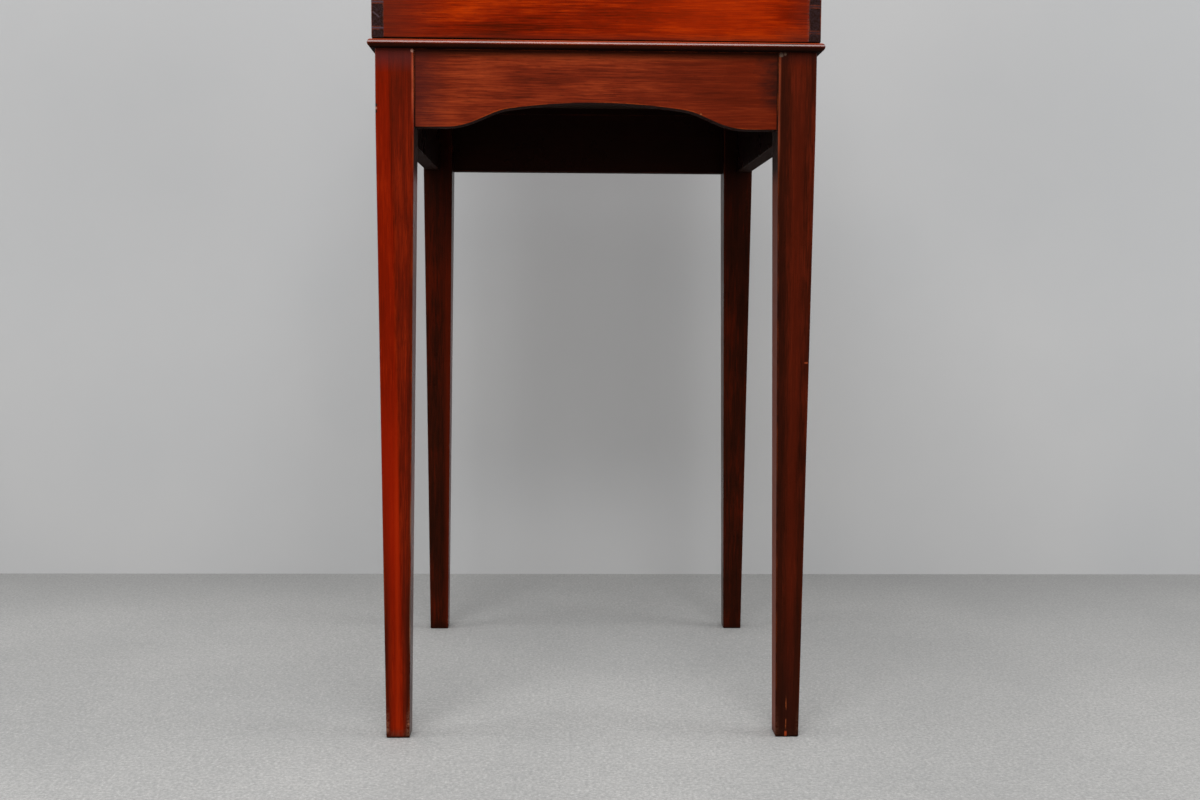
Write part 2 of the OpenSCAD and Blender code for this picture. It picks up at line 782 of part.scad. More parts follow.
// The tongue of the panel, on the left
module tongue(play) {
    block([-cleat_x - tongue_l - play, lid_front + tongue_stop - play, tongue_v],
          [-cleat_x + past, lid_end - lid_lean - tongue_stop + play, tongue_v + tongue_t]);
}

module lid_panel() {
    color(mahogany) difference() {
        on_slope() union() {
            intersection() {
                lid_form();
                block([-cleat_x, lid_front - past, 0], [cleat_x, lid_end + past, lid_top + past]);
            }
            for (turn = [0, 1]) mirror([turn, 0, 0]) tongue(0);
        }
        for (x = [-hinge_x, hinge_x]) on_hinge() translate([x, 0, 0]) hinge_space();
        on_hinge() mirror([0, 1, 0]) hinge_screw_set(screw_play);
        strike_space();
    }
}

module lid_cleat() {
    on_slope() difference() {
        intersection() {
            lid_form();
            block([-lid_w / 2 - past, lid_front - past, 0], [-cleat_x, lid_end + past, lid_top + past]);
        }
        tongue(mortise_play);
    }
}

module lid_cleat_left() { color(mahogany) lid_cleat(); }
module lid_cleat_right() { color(mahogany) mirror([1, 0, 0]) lid_cleat(); }

// The book rest: a strip with a round top, seated in its housing
module book_rest() {
    z_round = lid_top + rest_h - rest_w / 2;
    color(mahogany) on_slope() {
        block([-rest_half, rest_low, lid_top - rest_seat], [rest_half, rest_low + rest_w, z_round]);
        translate([-rest_half, rest_low + rest_w / 2, z_round]) rotate([0, 90, 0])
            cylinder(r = rest_w / 2, h = 2 * rest_half);
    }
}

// The lock

// The hook that hangs from the strike plate, with the notch that the bolt slides into
module hook() {
    on_slope() along_y(hook_v - hook_t / 2, hook_v + hook_t / 2) polygon([
        [-hook_w / 2, hook_low], [hook_w / 2, hook_low], [hook_w / 2, rest_gap + overlap],
        [-hook_w / 2, rest_gap + overlap], [-hook_w / 2, notch_n + notch_half],
        [notch_end, notch_n + notch_half], [notch_end, notch_n - notch_half],
        [-hook_w / 2, notch_n - notch_half]
    ]);
}

// The slot in the lock that the hook comes down through
module hook_slot() {
    lean = (hook_v + hook_t / 2) * cos(slope) - hook_low * sin(slope);
    block([-hook_w / 2 - slot_gap, y_box + (hook_v - hook_t / 2) * cos(slope) - slot_gap,
           z_front + hook_low * cos(slope) - slot_gap],
          [hook_w / 2 + slot_gap, y_box + lean + slot_gap, z_front + board_t]);
}

// The way of the bolt through the case, and the key's turning circle
module bolt_way() {
    low = z_arm_low - bolt_gap;
    arm = z_arm_top + bolt_gap;
    step = z_step - bolt_gap;
    high = z_bolt_top + bolt_gap;
    back = x_tail - bolt_gap;
    go = bolt_travel + bolt_gap;
    along_y(y_bolt - bolt_gap, y_bolt + bolt_t + bolt_gap) polygon([
        [back, low], [x_arm + go, low], [x_arm + go, arm], [x_throat + go, arm],
        [x_throat + go, step], [x_nose + go, step], [x_nose + go, high], [back, high]
    ]);
    translate([0, y_bolt, z_key]) rotate([-90, 0, 0]) cylinder(r = key_l + bolt_gap, h = bolt_t);
}

// The strike plate's outline, with a depth and a reach below the lid
module strike_outline(below) {
    on_slope() block([-lock_w / 2, strike_low, rest_gap - below], [lock_w / 2, strike_high, rest_gap + plate_t]);
}

module lock_case() {
    color(brass) difference() {
        lock_form(0);
        bolt_way();
        hook_slot();
        keyhole(0, y_plate - case_d - past, y_bolt + overlap);
        lock_screw_set(screw_play);
    }
}

// The bolt, drawn back: a nose above and, below it, the arm with the talon for the key
module lock_bolt() {
    z_talon = z_key + key_l + bolt_gap;
    color(steel) along_y(y_bolt, y_bolt + bolt_t) polygon([
        [x_tail, z_arm_low], [x_talon - talon_w / 2, z_arm_low], [x_talon - talon_w / 2, z_talon],
        [x_talon + talon_w / 2, z_talon], [x_talon + talon_w / 2, z_arm_low], [x_arm, z_arm_low],
        [x_arm, z_arm_top], [x_throat, z_arm_top], [x_throat, z_step],
        [x_nose, z_step], [x_nose, z_bolt_top], [x_tail, z_bolt_top]
    ]);
}

// The lock's screws, from the inside of the box into the front board
module lock_screw_set(play) {
    x = (lock_w + case_w) / 4;
    for (side = [-1, 1], z = [z_plate + lock_screw_in, z_plate + lock_h - 2 * lock_screw_in])
        translate([side * x, y_inner, z]) mirror([0, 1, 0]) screw_along_y(lock_screw_l, plate_t, play);
}

module lock_screws() { color(brass) lock_screw_set(0); }

// The strike plate's space in the lid
module strike_space() {
    strike_outline(rest_gap);
    on_slope() strike_screw_set(screw_play);
}

module strike_plate() {
    color(brass) difference() {
        union() {
            strike_outline(0);
            hook();
        }
        on_slope() strike_screw_set(screw_play);
    }
}

// Two screws up into the lid, in the frame of its slope
module strike_screw_set(play) {
    for (side = [-1, 1])
        translate([side * strike_screw_x, (strike_low + strike_high) / 2, rest_gap])
            rotate([90, 0, 0]) screw_along_y(lock_screw_l, plate_t, play);
}

module strike_screws() { color(brass) on_slope() strike_screw_set(0); }

module escutcheon() {
    color(brass) difference() {
        keyhole(escutcheon_wall, y_box, y_box + escutcheon_d);
        keyhole(0, y_box - past, y_box + escutcheon_d + past);
    }
}

// The fitting under the ledge

// An upright on the left, notched from the front to take both shelves
module upright() {
    difference() {
        block([-upright_x - nest_t, y_nest, z_floor], [-upright_x, y_inside, z_ledge]);
        for (z = [z_lower, z_upper])
            block([-upright_x - nest_t - past, y_nest - past, z], [-upright_x + past, y_nest + nest_d / 2, z + nest_t]);
    }
}

module upright_left() { color(plain_wood) upright(); }
module upright_right() { color(plain_wood) mirror([1, 0, 0]) upright(); }

// A shelf the whole width of the box, notched from the back for the uprights
module shelf(z) {
    difference() {
        block([-inner_x, y_nest, z], [inner_x, y_inside, z + nest_t]);
        for (turn = [0, 1]) mirror([turn, 0, 0])
            block([-upright_x - nest_t, y_nest + nest_d / 2, z - past], [-upright_x, y_inside + past, z + nest_t + past]);
    }
}

module lower_shelf() { color(plain_wood) shelf(z_lower); }
module upper_shelf() { color(plain_wood) shelf(z_upper); }

// The drawers, drawn with the front's lower edge in the middle at the origin

// The tails at the front end of a drawer side, or their sockets in the front
module drawer_tails() {
    tail = (drawer_h - drawer_pin) / 2;
    flare = (drawer_front_t - lap) * tan(pin_angle);
    for (i = [0, 1]) {
        low = drawer_pin / 4 + i * (tail + drawer_pin / 2);
        along_x(-drawer_w / 2, drawer_side_t - drawer_w / 2) polygon([
            [lap, low], [drawer_front_t, low + flare],
            [drawer_front_t, low + tail - flare], [lap, low + tail]
        ]);
    }
}

// The bottom board of a drawer, which is also the groove for it
module drawer_floor() {
    half = drawer_w / 2 - drawer_side_t + groove;
    block([-half, drawer_front_t - groove, groove_up], [half, drawer_d, groove_up + drawer_bottom_t]);
}

module drawer_front_piece() {
    color(mahogany) difference() {
        block([-drawer_w / 2, 0, 0], [drawer_w / 2, drawer_front_t, drawer_h]);
        for (turn = [0, 1]) mirror([turn, 0, 0]) drawer_tails();
        drawer_floor();
        translate([0, -past, drawer_h / 2]) rotate([-90, 0, 0])
            cylinder(r = spigot_r + screw_play, h = drawer_front_t + 2 * past);
    }
}

module drawer_side_piece() {
    color(plain_wood) difference() {
        union() {
            block([-drawer_w / 2, drawer_front_t, 0], [drawer_side_t - drawer_w / 2, drawer_d, drawer_h]);
            drawer_tails();
        }
        drawer_floor();
    }
}

module drawer_back_piece() {
    half = drawer_w / 2 - drawer_side_t;
    color(plain_wood) block([-half, drawer_d - drawer_side_t, groove_up + drawer_bottom_t],
                            [half, drawer_d, drawer_h - drawer_side_t]);
}

module drawer_bottom_piece() { color(plain_wood) drawer_floor(); }

// The outline of a turned knob: spigot, foot, waist and a flattened ball for a head
function knob_outline() =
    let (steps = 12, under = acos(knob_neck_r / knob_r), head_z = knob_l - knob_head_h,
         neck_z = head_z - knob_head_h * sin(under))
    concat(
        [[0, -drawer_front_t], [spigot_r, -drawer_front_t], [spigot_r, 0], [knob_foot_r, 0]],
        [for (i = [0 : steps / 2 - 1]) let (t = i / (steps / 2))
            [i == 0 ? knob_foot_r : knob_neck_r - (knob_neck_r - knob_waist_r) * sin(180 * t),
             knob_foot_h + (neck_z - knob_foot_h) * t]],
        [for (i = [0 : steps - 1]) let (a = i * (90 + under) / steps - under)
            [knob_r * cos(a), head_z + knob_head_h * sin(a)]],
        [[0, knob_l]]
    );

module drawer_knob_piece() {
    color(brass) translate([0, 0, drawer_h / 2]) rotate([90, 0, 0]) rotate_extrude() polygon(knob_outline());
}

// Puts a drawer's piece into the left or the right bay
module in_bay(right) {
    translate([right ? drawer_x : -drawer_x, y_nest, z_floor + drawer_low_gap]) children();
}

module drawer_left_front() { in_bay(false) drawer_front_piece(); }
module drawer_left_side_l() { in_bay(false) drawer_side_piece(); }
module drawer_left_side_r() { in_bay(false) mirror([1, 0, 0]) drawer_side_piece(); }
module drawer_left_back() { in_bay(false) drawer_back_piece(); }
module drawer_left_bottom() { in_bay(false) drawer_bottom_piece(); }
module drawer_left_knob() { in_bay(false) drawer_knob_piece(); }
module drawer_right_front() { in_bay(true) drawer_front_piece(); }
module drawer_right_side_l() { in_bay(true) drawer_side_piece(); }
module drawer_right_side_r() { in_bay(true) mirror([1, 0, 0]) drawer_side_piece(); }
module drawer_right_back() { in_bay(true) drawer_back_piece(); }
module drawer_right_bottom() { in_bay(true) drawer_bottom_piece(); }
module drawer_right_knob() { in_bay(true) drawer_knob_piece(); }

leg_front_left();
leg_front_right();
leg_back_left();
leg_back_right();
front_apron();
back_rail();
side_rail_left();
side_rail_right();
moulding_front();
moulding_left();
moulding_right();
back_fillet();
glue_blocks();
stay_screws();
box_front();
box_back();
box_side_left();
box_side_right();
box_bottom();
top_ledge();
upright_left();
upright_right();
lower_shelf();
upper_shelf();
drawer_left_front();
drawer_left_side_l();
drawer_left_side_r();
drawer_left_back();
drawer_left_bottom();
drawer_left_knob();
drawer_right_front();
drawer_right_side_l();
drawer_right_side_r();
drawer_right_back();
drawer_right_bottom();
drawer_right_knob();
lid_panel();
lid_cleat_left();
lid_cleat_right();
book_rest();
hinge_left_fixed_leaf();
hinge_left_lid_leaf();
hinge_left_pin();
hinge_right_fixed_leaf();
hinge_right_lid_leaf();
hinge_right_pin();
hinge_screws_ledge();
hinge_screws_lid();
lock_case();
lock_bolt();
lock_screws();
strike_plate();
strike_screws();
escutcheon();
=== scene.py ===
import json
import math

import bpy
from mathutils import Matrix, Vector


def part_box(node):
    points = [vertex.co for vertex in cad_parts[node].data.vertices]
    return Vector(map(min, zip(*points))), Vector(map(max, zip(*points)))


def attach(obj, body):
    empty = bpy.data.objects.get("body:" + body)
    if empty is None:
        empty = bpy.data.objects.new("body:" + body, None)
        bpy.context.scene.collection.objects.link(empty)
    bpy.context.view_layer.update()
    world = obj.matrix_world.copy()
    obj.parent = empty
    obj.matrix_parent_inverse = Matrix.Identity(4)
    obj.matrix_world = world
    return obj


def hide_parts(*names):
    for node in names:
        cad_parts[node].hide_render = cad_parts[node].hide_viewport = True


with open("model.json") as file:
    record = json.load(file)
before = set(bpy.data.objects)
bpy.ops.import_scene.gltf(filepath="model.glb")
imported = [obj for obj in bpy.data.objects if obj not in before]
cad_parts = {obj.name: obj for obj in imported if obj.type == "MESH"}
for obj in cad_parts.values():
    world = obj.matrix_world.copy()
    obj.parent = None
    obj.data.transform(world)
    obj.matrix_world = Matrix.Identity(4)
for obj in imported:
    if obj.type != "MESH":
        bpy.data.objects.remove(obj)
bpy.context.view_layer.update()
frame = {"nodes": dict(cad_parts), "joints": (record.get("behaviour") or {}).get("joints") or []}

# Sizes and places of the desk that the looks depend on, in metres
SLOPE = math.radians(15)
LEG_OUTER_X = 0.294
LEG_TOP_W = 0.0508
# The knee, where the legs' taper begins, and how far their outer and inner faces come in by the floor
KNEE_Z = 0.835
TAPER_OUT = 0.0079
TAPER_IN = 0.0107
# The front faces of the legs above the knee and of the box
FRONT_Y = -0.3254
BOX_FRONT_Y = -0.3292
APRON_HALF = 0.2432
BOX_HALF = 0.2978
SIDE_T = 0.016
# Where the box front's pins begin between the side boards' tails, and how sharply
PINS_X = BOX_HALF - SIDE_T
PINS_BLUR = 0.0002

# The camera stands a little left of the desk's middle and looks slightly down and to the right
LENS = 40.0
SENSOR = 36.0
CAMERA_PLACE = Vector((-0.0420, -2.1271, 0.6095))
CAMERA_YAW = 0.0270
CAMERA_PITCH = 0.0768
CAMERA_ROLL = 0.0057

# The room: the wall stands behind the desk, a little out of square to it
WALL_Y = 0.781
WALL_TURN = 0.003
FLOOR_SIZE = 14.0
WALL_HEIGHT = 5.0
# How far in front of the wall the floor begins to darken with painted shade
WALL_SHADE_REACH = 0.45
WORLD_LEVEL = 0.38


def paint(red, green, blue):
    """A screen colour as the linear colour that a shader takes."""
    def linear(value):
        share = value / 255
        if share <= 0.04045:
            return share / 12.92
        return ((share + 0.055) / 1.055) ** 2.4
    return (linear(red), linear(green), linear(blue), 1.0)


WHITE = (1.0, 1.0, 1.0, 1.0)

# Tones of the polished mahogany: dark streaks, the body of the board, light streaks
BRIGHT = (paint(66, 9, 0), paint(118, 21, 0), paint(168, 48, 1))
WARM = (paint(60, 17, 9), paint(104, 32, 15), paint(146, 56, 26))
RED = (paint(56, 8, 1), paint(96, 15, 1), paint(136, 32, 4))
DEEP = (paint(26, 6, 3), paint(52, 14, 6), paint(84, 24, 10))
# A darker copy for the back legs, the back rail, the fillet and the glue blocks: darker wood with painted
# shade in it
DARK_WOOD_AND_SHADE = (paint(18, 6, 4), paint(42, 12, 6), paint(74, 17, 5))
NOSE = (paint(52, 9, 2), paint(98, 22, 6), paint(140, 48, 16))
END_GRAIN = paint(42, 33, 38)
# A near-black brown: the grain's dark lines, the end grain's specks and grime, and also the tone of painted
# shade in hollows, on undersides and beneath the moulding
GRIME_AND_PAINTED_SHADE = paint(12, 6, 5)
RUBBED = paint(186, 78, 26)
SCUFFED = paint(128, 82, 62)
# The shellac's own warm tint in what it mirrors
SHELLAC = (1.0, 0.30, 0.12, 1.0)

# Tones of the dry boards inside the desk and of their stains, and of the painted shade in their corners and
# on the box's underside
DRY = (paint(112, 72, 44), paint(152, 106, 68), paint(178, 134, 92))
DRY_STAIN = paint(92, 62, 44)
DRY_CORNER_SHADE = paint(44, 30, 22)
DRY_UNDERSIDE_SHADE = paint(24, 15, 12)

# Tones of the metals: tarnish, the body of the metal, rubbed edges
BRASS = (paint(88, 66, 36), paint(168, 132, 74), paint(214, 178, 112))
STEEL = (paint(58, 54, 50), paint(112, 110, 108), paint(168, 168, 168))

# Tones that both front legs are shaded with: painted shade inside at the rails, a dark tone along the low
# edges, and bare wood
PAINTED_SHADE_AT_RAILS = paint(13, 7, 6)
LOW_EDGE = paint(40, 11, 5)
BARE_CORNER = paint(142, 98, 76)
BARE_RIM = paint(112, 70, 50)

# Tones of the left front leg's stripe, the brown beside it, and its other marks, among them painted shade
# at its top and a rubbed arris with a painted highlight
LEFT_STRIPE = paint(140, 23, 2)
LEFT_BROWN = paint(78, 24, 14)
LEFT_TOP_SHADE = paint(72, 31, 31)
LEFT_INNER = paint(46, 12, 6)
LEFT_ARRIS_WEAR_AND_HIGHLIGHT = paint(184, 82, 54)
LEFT_GLOW = paint(160, 40, 6)
LEFT_PALE_LINE = paint(120, 112, 96)

# Tones of the right front leg's bands, its inner side with a painted reflection, the painted shade at its
# top, its rubbed arris with a painted highlight, its foot and the crack there
RIGHT_BAND = paint(34, 10, 6)
RIGHT_WARM = paint(80, 20, 7)
RIGHT_TOP_SHADE = paint(38, 12, 12)
RIGHT_FOOT = paint(26, 11, 8)
RIGHT_ARRIS_WEAR_AND_HIGHLIGHT = paint(150, 68, 42)
RIGHT_SIDE_REFLECTION = paint(116, 60, 44)
CRACK_LIP = paint(190, 74, 34)
CRACK_SPLIT = paint(168, 84, 44)

# Tones of the back legs, and of the painted shade on them and on the rails' inner sides
BACK_WARM = paint(86, 20, 6)
BACK_SHADE = paint(17, 8, 7)
RAIL_INSIDE_SHADE = paint(16, 9, 8)

# Tones of the box front, the apron and the moulding, among them painted shade in the box's gap, at the
# apron's joints and on the nose's lower half, and painted light on the nose's top
BOX_WARM = paint(168, 42, 2)
BOX_DULL = paint(84, 27, 17)
BOX_RUBBED = paint(120, 100, 90)
BOX_GAP_SHADE = paint(8, 4, 3)
PINS_LEFT = paint(60, 54, 64)
PINS_RIGHT = paint(30, 30, 36)
APRON_RIGHT = paint(84, 21, 6)
APRON_CORNER = paint(30, 13, 12)
APRON_LEFT = paint(56, 22, 23)
APRON_JOINT_DIRT_AND_SHADE = paint(14, 6, 6)
NOSE_CROWN_LIGHT = paint(176, 66, 20)
NOSE_BELOW_SHADE = paint(14, 6, 5)

# Tones of the floor and the wall, and of the painted shade on them and the painted light low on the wall
CONCRETE = (paint(172, 172, 171), paint(196, 195, 193))
CONCRETE_DARK_GRIT = paint(150, 150, 149)
CONCRETE_PALE_GRIT = paint(222, 222, 220)
FLOOR_SHADE = paint(120, 120, 120)
PLASTER = (paint(184, 185, 186), paint(190, 190, 190))
PLASTER_CORNERS_SHADE = paint(150, 151, 152)
PLASTER_LOW_LIGHT = paint(202, 202, 202)

# Turns that bring each grain direction onto the texture's first axis
GRAIN_TURN = {
    "X": (0.0, 0.0, 0.0),
    "Y": (0.0, 0.0, -math.pi / 2),
    "Z": (0.0, math.pi / 2, 0.0),
    "SLOPE": (-SLOPE, 0.0, -math.pi / 2),
}
GRAIN_AXIS = {
    "X": (1.0, 0.0, 0.0),
    "Y": (0.0, 1.0, 0.0),
    "Z": (0.0, 0.0, 1.0),
    "SLOPE": (0.0, math.cos(SLOPE), math.sin(SLOPE)),
}
# How far each step of a seed moves the wood's and the metal's texture along its axes
WOOD_STEPS = (1.37, 0.71, 2.13)
METAL_STEPS = (0.9, 0.4, 1.7)
# The soft rim of a chip
SPOT_BLUR = 0.0012
COAT_ROUGH = 0.12
# The sockets of a Mix node that take and give colours, which share their names with others
MIX_SHARE = 0
MIX_FIRST = 6
MIX_SECOND = 7
MIX_RESULT = 2


def make_camera():
    """The camera at the photograph's viewing angle."""
    data = bpy.data.cameras.new("view")
    data.lens = LENS
    data.sensor_width = SENSOR
    camera = bpy.data.objects.new("view", data)
    bpy.context.scene.collection.objects.link(camera)
    turn = Matrix.Rotation(-CAMERA_YAW, 4, "Z")
    tilt = Matrix.Rotation(math.pi / 2 - CAMERA_PITCH, 4, "X")
    roll = Matrix.Rotation(CAMERA_ROLL, 4, "Z")
    camera.matrix_world = Matrix.Translation(CAMERA_PLACE) @ turn @ tilt @ roll
    bpy.context.scene.camera = camera


class Shader:
    """A material's node tree, with short calls for the nodes that the finishes here are made of."""

    def __init__(self, name):
        self.material = bpy.data.materials.new(name)
        self.material.use_nodes = True
        self.tree = self.material.node_tree
        self.tree.nodes.clear()
        self.bsdf = self.node("ShaderNodeBsdfPrincipled")
        self.output = self.node("ShaderNodeOutputMaterial")
        self.link(self.bsdf.outputs["BSDF"], self.output.inputs["Surface"])
        coordinates = self.node("ShaderNodeTexCoord")
        self.place = coordinates.outputs["Object"]
        self.facing = coordinates.outputs["Normal"]
        # A mask that a touch may leave here for where the polish is duller
        self.duller = None

    def node(self, kind, **settings):
        made = self.tree.nodes.new(kind)
        for key, value in settings.items():
            setattr(made, key, value)
        return made

    def link(self, source, target):
        self.tree.links.new(source, target)

    def feed(self, socket, value):
        """Puts a link or a plain value into a socket."""
        if isinstance(value, bpy.types.NodeSocket):
            self.link(value, socket)
        else:
            socket.default_value = value

    def math(self, operation, first, second=0.0, clamp=False):
        made = self.node("ShaderNodeMath", operation=operation, use_clamp=clamp)
        self.feed(made.inputs[0], first)
        self.feed(made.inputs[1], second)
        return made.outputs[0]

    def chain(self, operation, first, others):
        """Applies an operation to the first value and each of the others in turn."""
        for other in others:
            first = self.math(operation, first, other)
        return first

    def times(self, first, *others):
        return self.chain("MULTIPLY", first, others)

    def plus(self, first, *others):
        return self.chain("ADD", first, others)

    def highest(self, first, *others):
        return self.chain("MAXIMUM", first, others)

    def minus(self, first, second):
        return self.math("SUBTRACT", first, second)

    def off(self, value, middle):
        """How far a value is from a middle one, to either side."""
        return self.math("ABSOLUTE", self.minus(value, middle))

    def weigh(self, *pairs):
        """The sum of values, each times its own weight."""
        return self.plus(*[self.times(value, weight) for value, weight in pairs])

    def vector(self, operation, first, second, output="Vector"):
        made = self.node("ShaderNodeVectorMath", operation=operation)
        self.feed(made.inputs[0], first)
        self.feed(made.inputs[1], second)
        return made.outputs[output]

    def dot(self, first, second):
        return self.vector("DOT_PRODUCT", first, second, output="Value")

    def parts(self, source):
        """The x, y and z of a vector."""
        made = self.node("ShaderNodeSeparateXYZ")
        self.link(source, made.inputs[0])
        return tuple(made.outputs)

    def height(self):
        return self.parts(self.place)[2]

    def upward(self):
        """How far a face looks up: 1 straight up, 0 to the side and -1 straight down."""
        return self.parts(self.facing)[2]

    def mapping(self, source, move=(0, 0, 0), turn=(0, 0, 0), scale=(1, 1, 1)):
        made = self.node("ShaderNodeMapping")
        self.link(source, made.inputs["Vector"])
        made.inputs["Location"].default_value = move
        made.inputs["Rotation"].default_value = turn
        made.inputs["Scale"].default_value = scale
        return made.outputs["Vector"]

    def grain(self, direction, seed):
        """The place on a board with its grain along the first axis, moved by the seed."""
        move = tuple(seed * step for step in WOOD_STEPS)
        return self.mapping(self.place, move=move, turn=GRAIN_TURN[direction])

    def noise(self, source, scale=1.0, detail=2.0, rough=0.5, bend=0.0):
        made = self.node("ShaderNodeTexNoise")
        self.link(source, made.inputs["Vector"])
        made.inputs["Scale"].default_value = scale
        made.inputs["Detail"].default_value = detail
        made.inputs["Roughness"].default_value = rough
        made.inputs["Distortion"].default_value = bend
        return made.outputs["Fac"]

    def stretched(self, source, scale, **settings):
        """Noise with its own scale along each axis."""
        return self.noise(self.mapping(source, scale=scale), **settings)

    def streaks(self, grain, along, across, **settings):
        """Noise drawn out along the grain."""
        return self.stretched(grain, (along, across, across), **settings)

    def span(self, value, first, last, start=0.0, end=1.0, smooth=False):
        """Goes from start to end as the value goes from first to last, and stays there beyond them."""
        made = self.node("ShaderNodeMapRange", clamp=True)
        if smooth:
            made.interpolation_type = "SMOOTHSTEP"
        self.feed(made.inputs["Value"], value)
        made.inputs["From Min"].default_value = first
        made.inputs["From Max"].default_value = last
        made.inputs["To Min"].default_value = start
        made.inputs["To Max"].default_value = end
        return made.outputs["Result"]

    def ramp(self, value, stops):
        """Turns a value into a colour, through stops of a value and a colour each."""
        made = self.node("ShaderNodeValToRGB")
        self.link(value, made.inputs["Fac"])
        elements = made.color_ramp.elements
        for at, colour in stops[2:]:
            elements.new(at)
        for element, (at, colour) in zip(elements, stops):
            element.position = at
            element.color = colour
        return made.outputs["Color"]

    def mix(self, share, first, second):
        """The first colour where the share is 0 and the second where it is 1."""
        made = self.node("ShaderNodeMix", data_type="RGBA")
        self.feed(made.inputs[MIX_SHARE], share)
        self.feed(made.inputs[MIX_FIRST], first)
        self.feed(made.inputs[MIX_SECOND], second)
        return made.outputs[MIX_RESULT]

    def shade(self, colour, mask, tone, share):
        """Brings a colour to a tone where the mask is 1, as far as the share says."""
        return self.mix(self.times(mask, share), colour, tone)

    def rougher(self, rough, mask, by):
        """Adds to the roughness where the mask is 1."""
        return self.math("ADD", rough, self.times(mask, by), clamp=True)

    def end_grain(self, direction):
        """1 on the sawn ends of a board and 0 along its grain."""
        cut = self.dot(self.facing, GRAIN_AXIS[direction])
        return self.span(self.math("ABSOLUTE", cut), 0.80, 0.93)

    def underside(self):
        """1 on the faces that look down."""
        return self.span(self.upward(), -0.6, -0.9)

    def rounding(self, radius):
        """The normal with the sharp edges rounded."""
        made = self.node("ShaderNodeBevel", samples=4)
        made.inputs["Radius"].default_value = radius
        return made.outputs["Normal"]

    def edges(self, radius, low, high):
        """1 on the edges within radius and 0 on flat faces."""
        flat = self.node("ShaderNodeNewGeometry").outputs["Normal"]
        return self.span(self.dot(self.rounding(radius), flat), high, low)

    def hollows(self, reach):
        """1 deep in corners and gaps and 0 in the open."""
        made = self.node("ShaderNodeAmbientOcclusion", samples=4)
        made.inputs["Distance"].default_value = reach
        return self.math("SUBTRACT", 1.0, made.outputs["AO"], clamp=True)

    def bump(self, height, depth, strength, base=None):
        """The normal bent by a height, on top of a base normal where there is one."""
        made = self.node("ShaderNodeBump")
        made.inputs["Strength"].default_value = strength
        made.inputs["Distance"].default_value = depth
        self.link(height, made.inputs["Height"])
        if base is not None:
            self.link(base, made.inputs["Normal"])
        return made.outputs["Normal"]

    def spot(self, place, radius):
        """1 near a point and 0 away from it, with a broken outline."""
        ragged = self.noise(self.place, scale=260.0)
        away = self.vector("DISTANCE", self.place, place, output="Value")
        away = self.plus(away, self.times(ragged, radius))
        return self.span(away, radius * 1.5 + SPOT_BLUR, radius * 1.5)

    def finish(self, colour, rough, normal, metal=0.0, specular=0.5, tint=WHITE, coat=0.0, coat_ior=1.5):
        """Puts everything into the surface's own shader and gives the material."""
        self.feed(self.bsdf.inputs["Base Color"], colour)
        self.bsdf.inputs["Specular Tint"].default_value = tint
        self.feed(self.bsdf.inputs["Roughness"], rough)
        self.feed(self.bsdf.inputs["Normal"], normal)
        self.bsdf.inputs["Metallic"].default_value = metal
        self.bsdf.inputs["Specular IOR Level"].default_value = specular
        self.feed(self.bsdf.inputs["Coat Weight"], coat)
        self.bsdf.inputs["Coat Roughness"].default_value = COAT_ROUGH
        self.bsdf.inputs["Coat IOR"].default_value = coat_ior
        return self.material


# The boards whose end grain went nearly black
OPEN_ENDS = ("polished_box_side_left", "polished_box_side_right")
# How far the undersides are darkened with painted shade, and the lid's, which is darkened less
UNDERSIDE_SHADE_SHARE = 0.95
LID_UNDERSIDE_SHADE_SHARE = 0.2


def mahogany(s, direction, tones, seed):
    """The figure of a mahogany board. Gives its colour, its finest streaks and its pores."""
    grain = s.grain(direction, seed)
    broad = s.streaks(grain, along=2.0, across=20, detail=3.0, rough=0.55, bend=0.4)
    streak = s.streaks(grain, along=5.0, across=190, detail=4.0, rough=0.65, bend=0.2)
    fine = s.streaks(grain, along=26.0, across=780, detail=3.0, rough=0.6)
    pores = s.streaks(grain, along=70, across=1300, detail=1.0)
    cloudy = s.streaks(grain, along=9.0, across=24, detail=4.0, rough=0.6)
    flow = s.weigh((broad, 0.26), (streak, 0.22), (fine, 0.28), (cloudy, 0.24))
    dark, body, light = tones
    colour = s.ramp(flow, [(0.40, dark), (0.50, body), (0.60, light)])
    ticks = s.span(pores, 0.60, 0.70)
    colour = s.shade(colour, ticks, dark, share=0.55)
    lines = s.span(streak, 0.36, 0.30)
    return s.shade(colour, lines, GRIME_AND_PAINTED_SHADE, share=0.35), fine, ticks


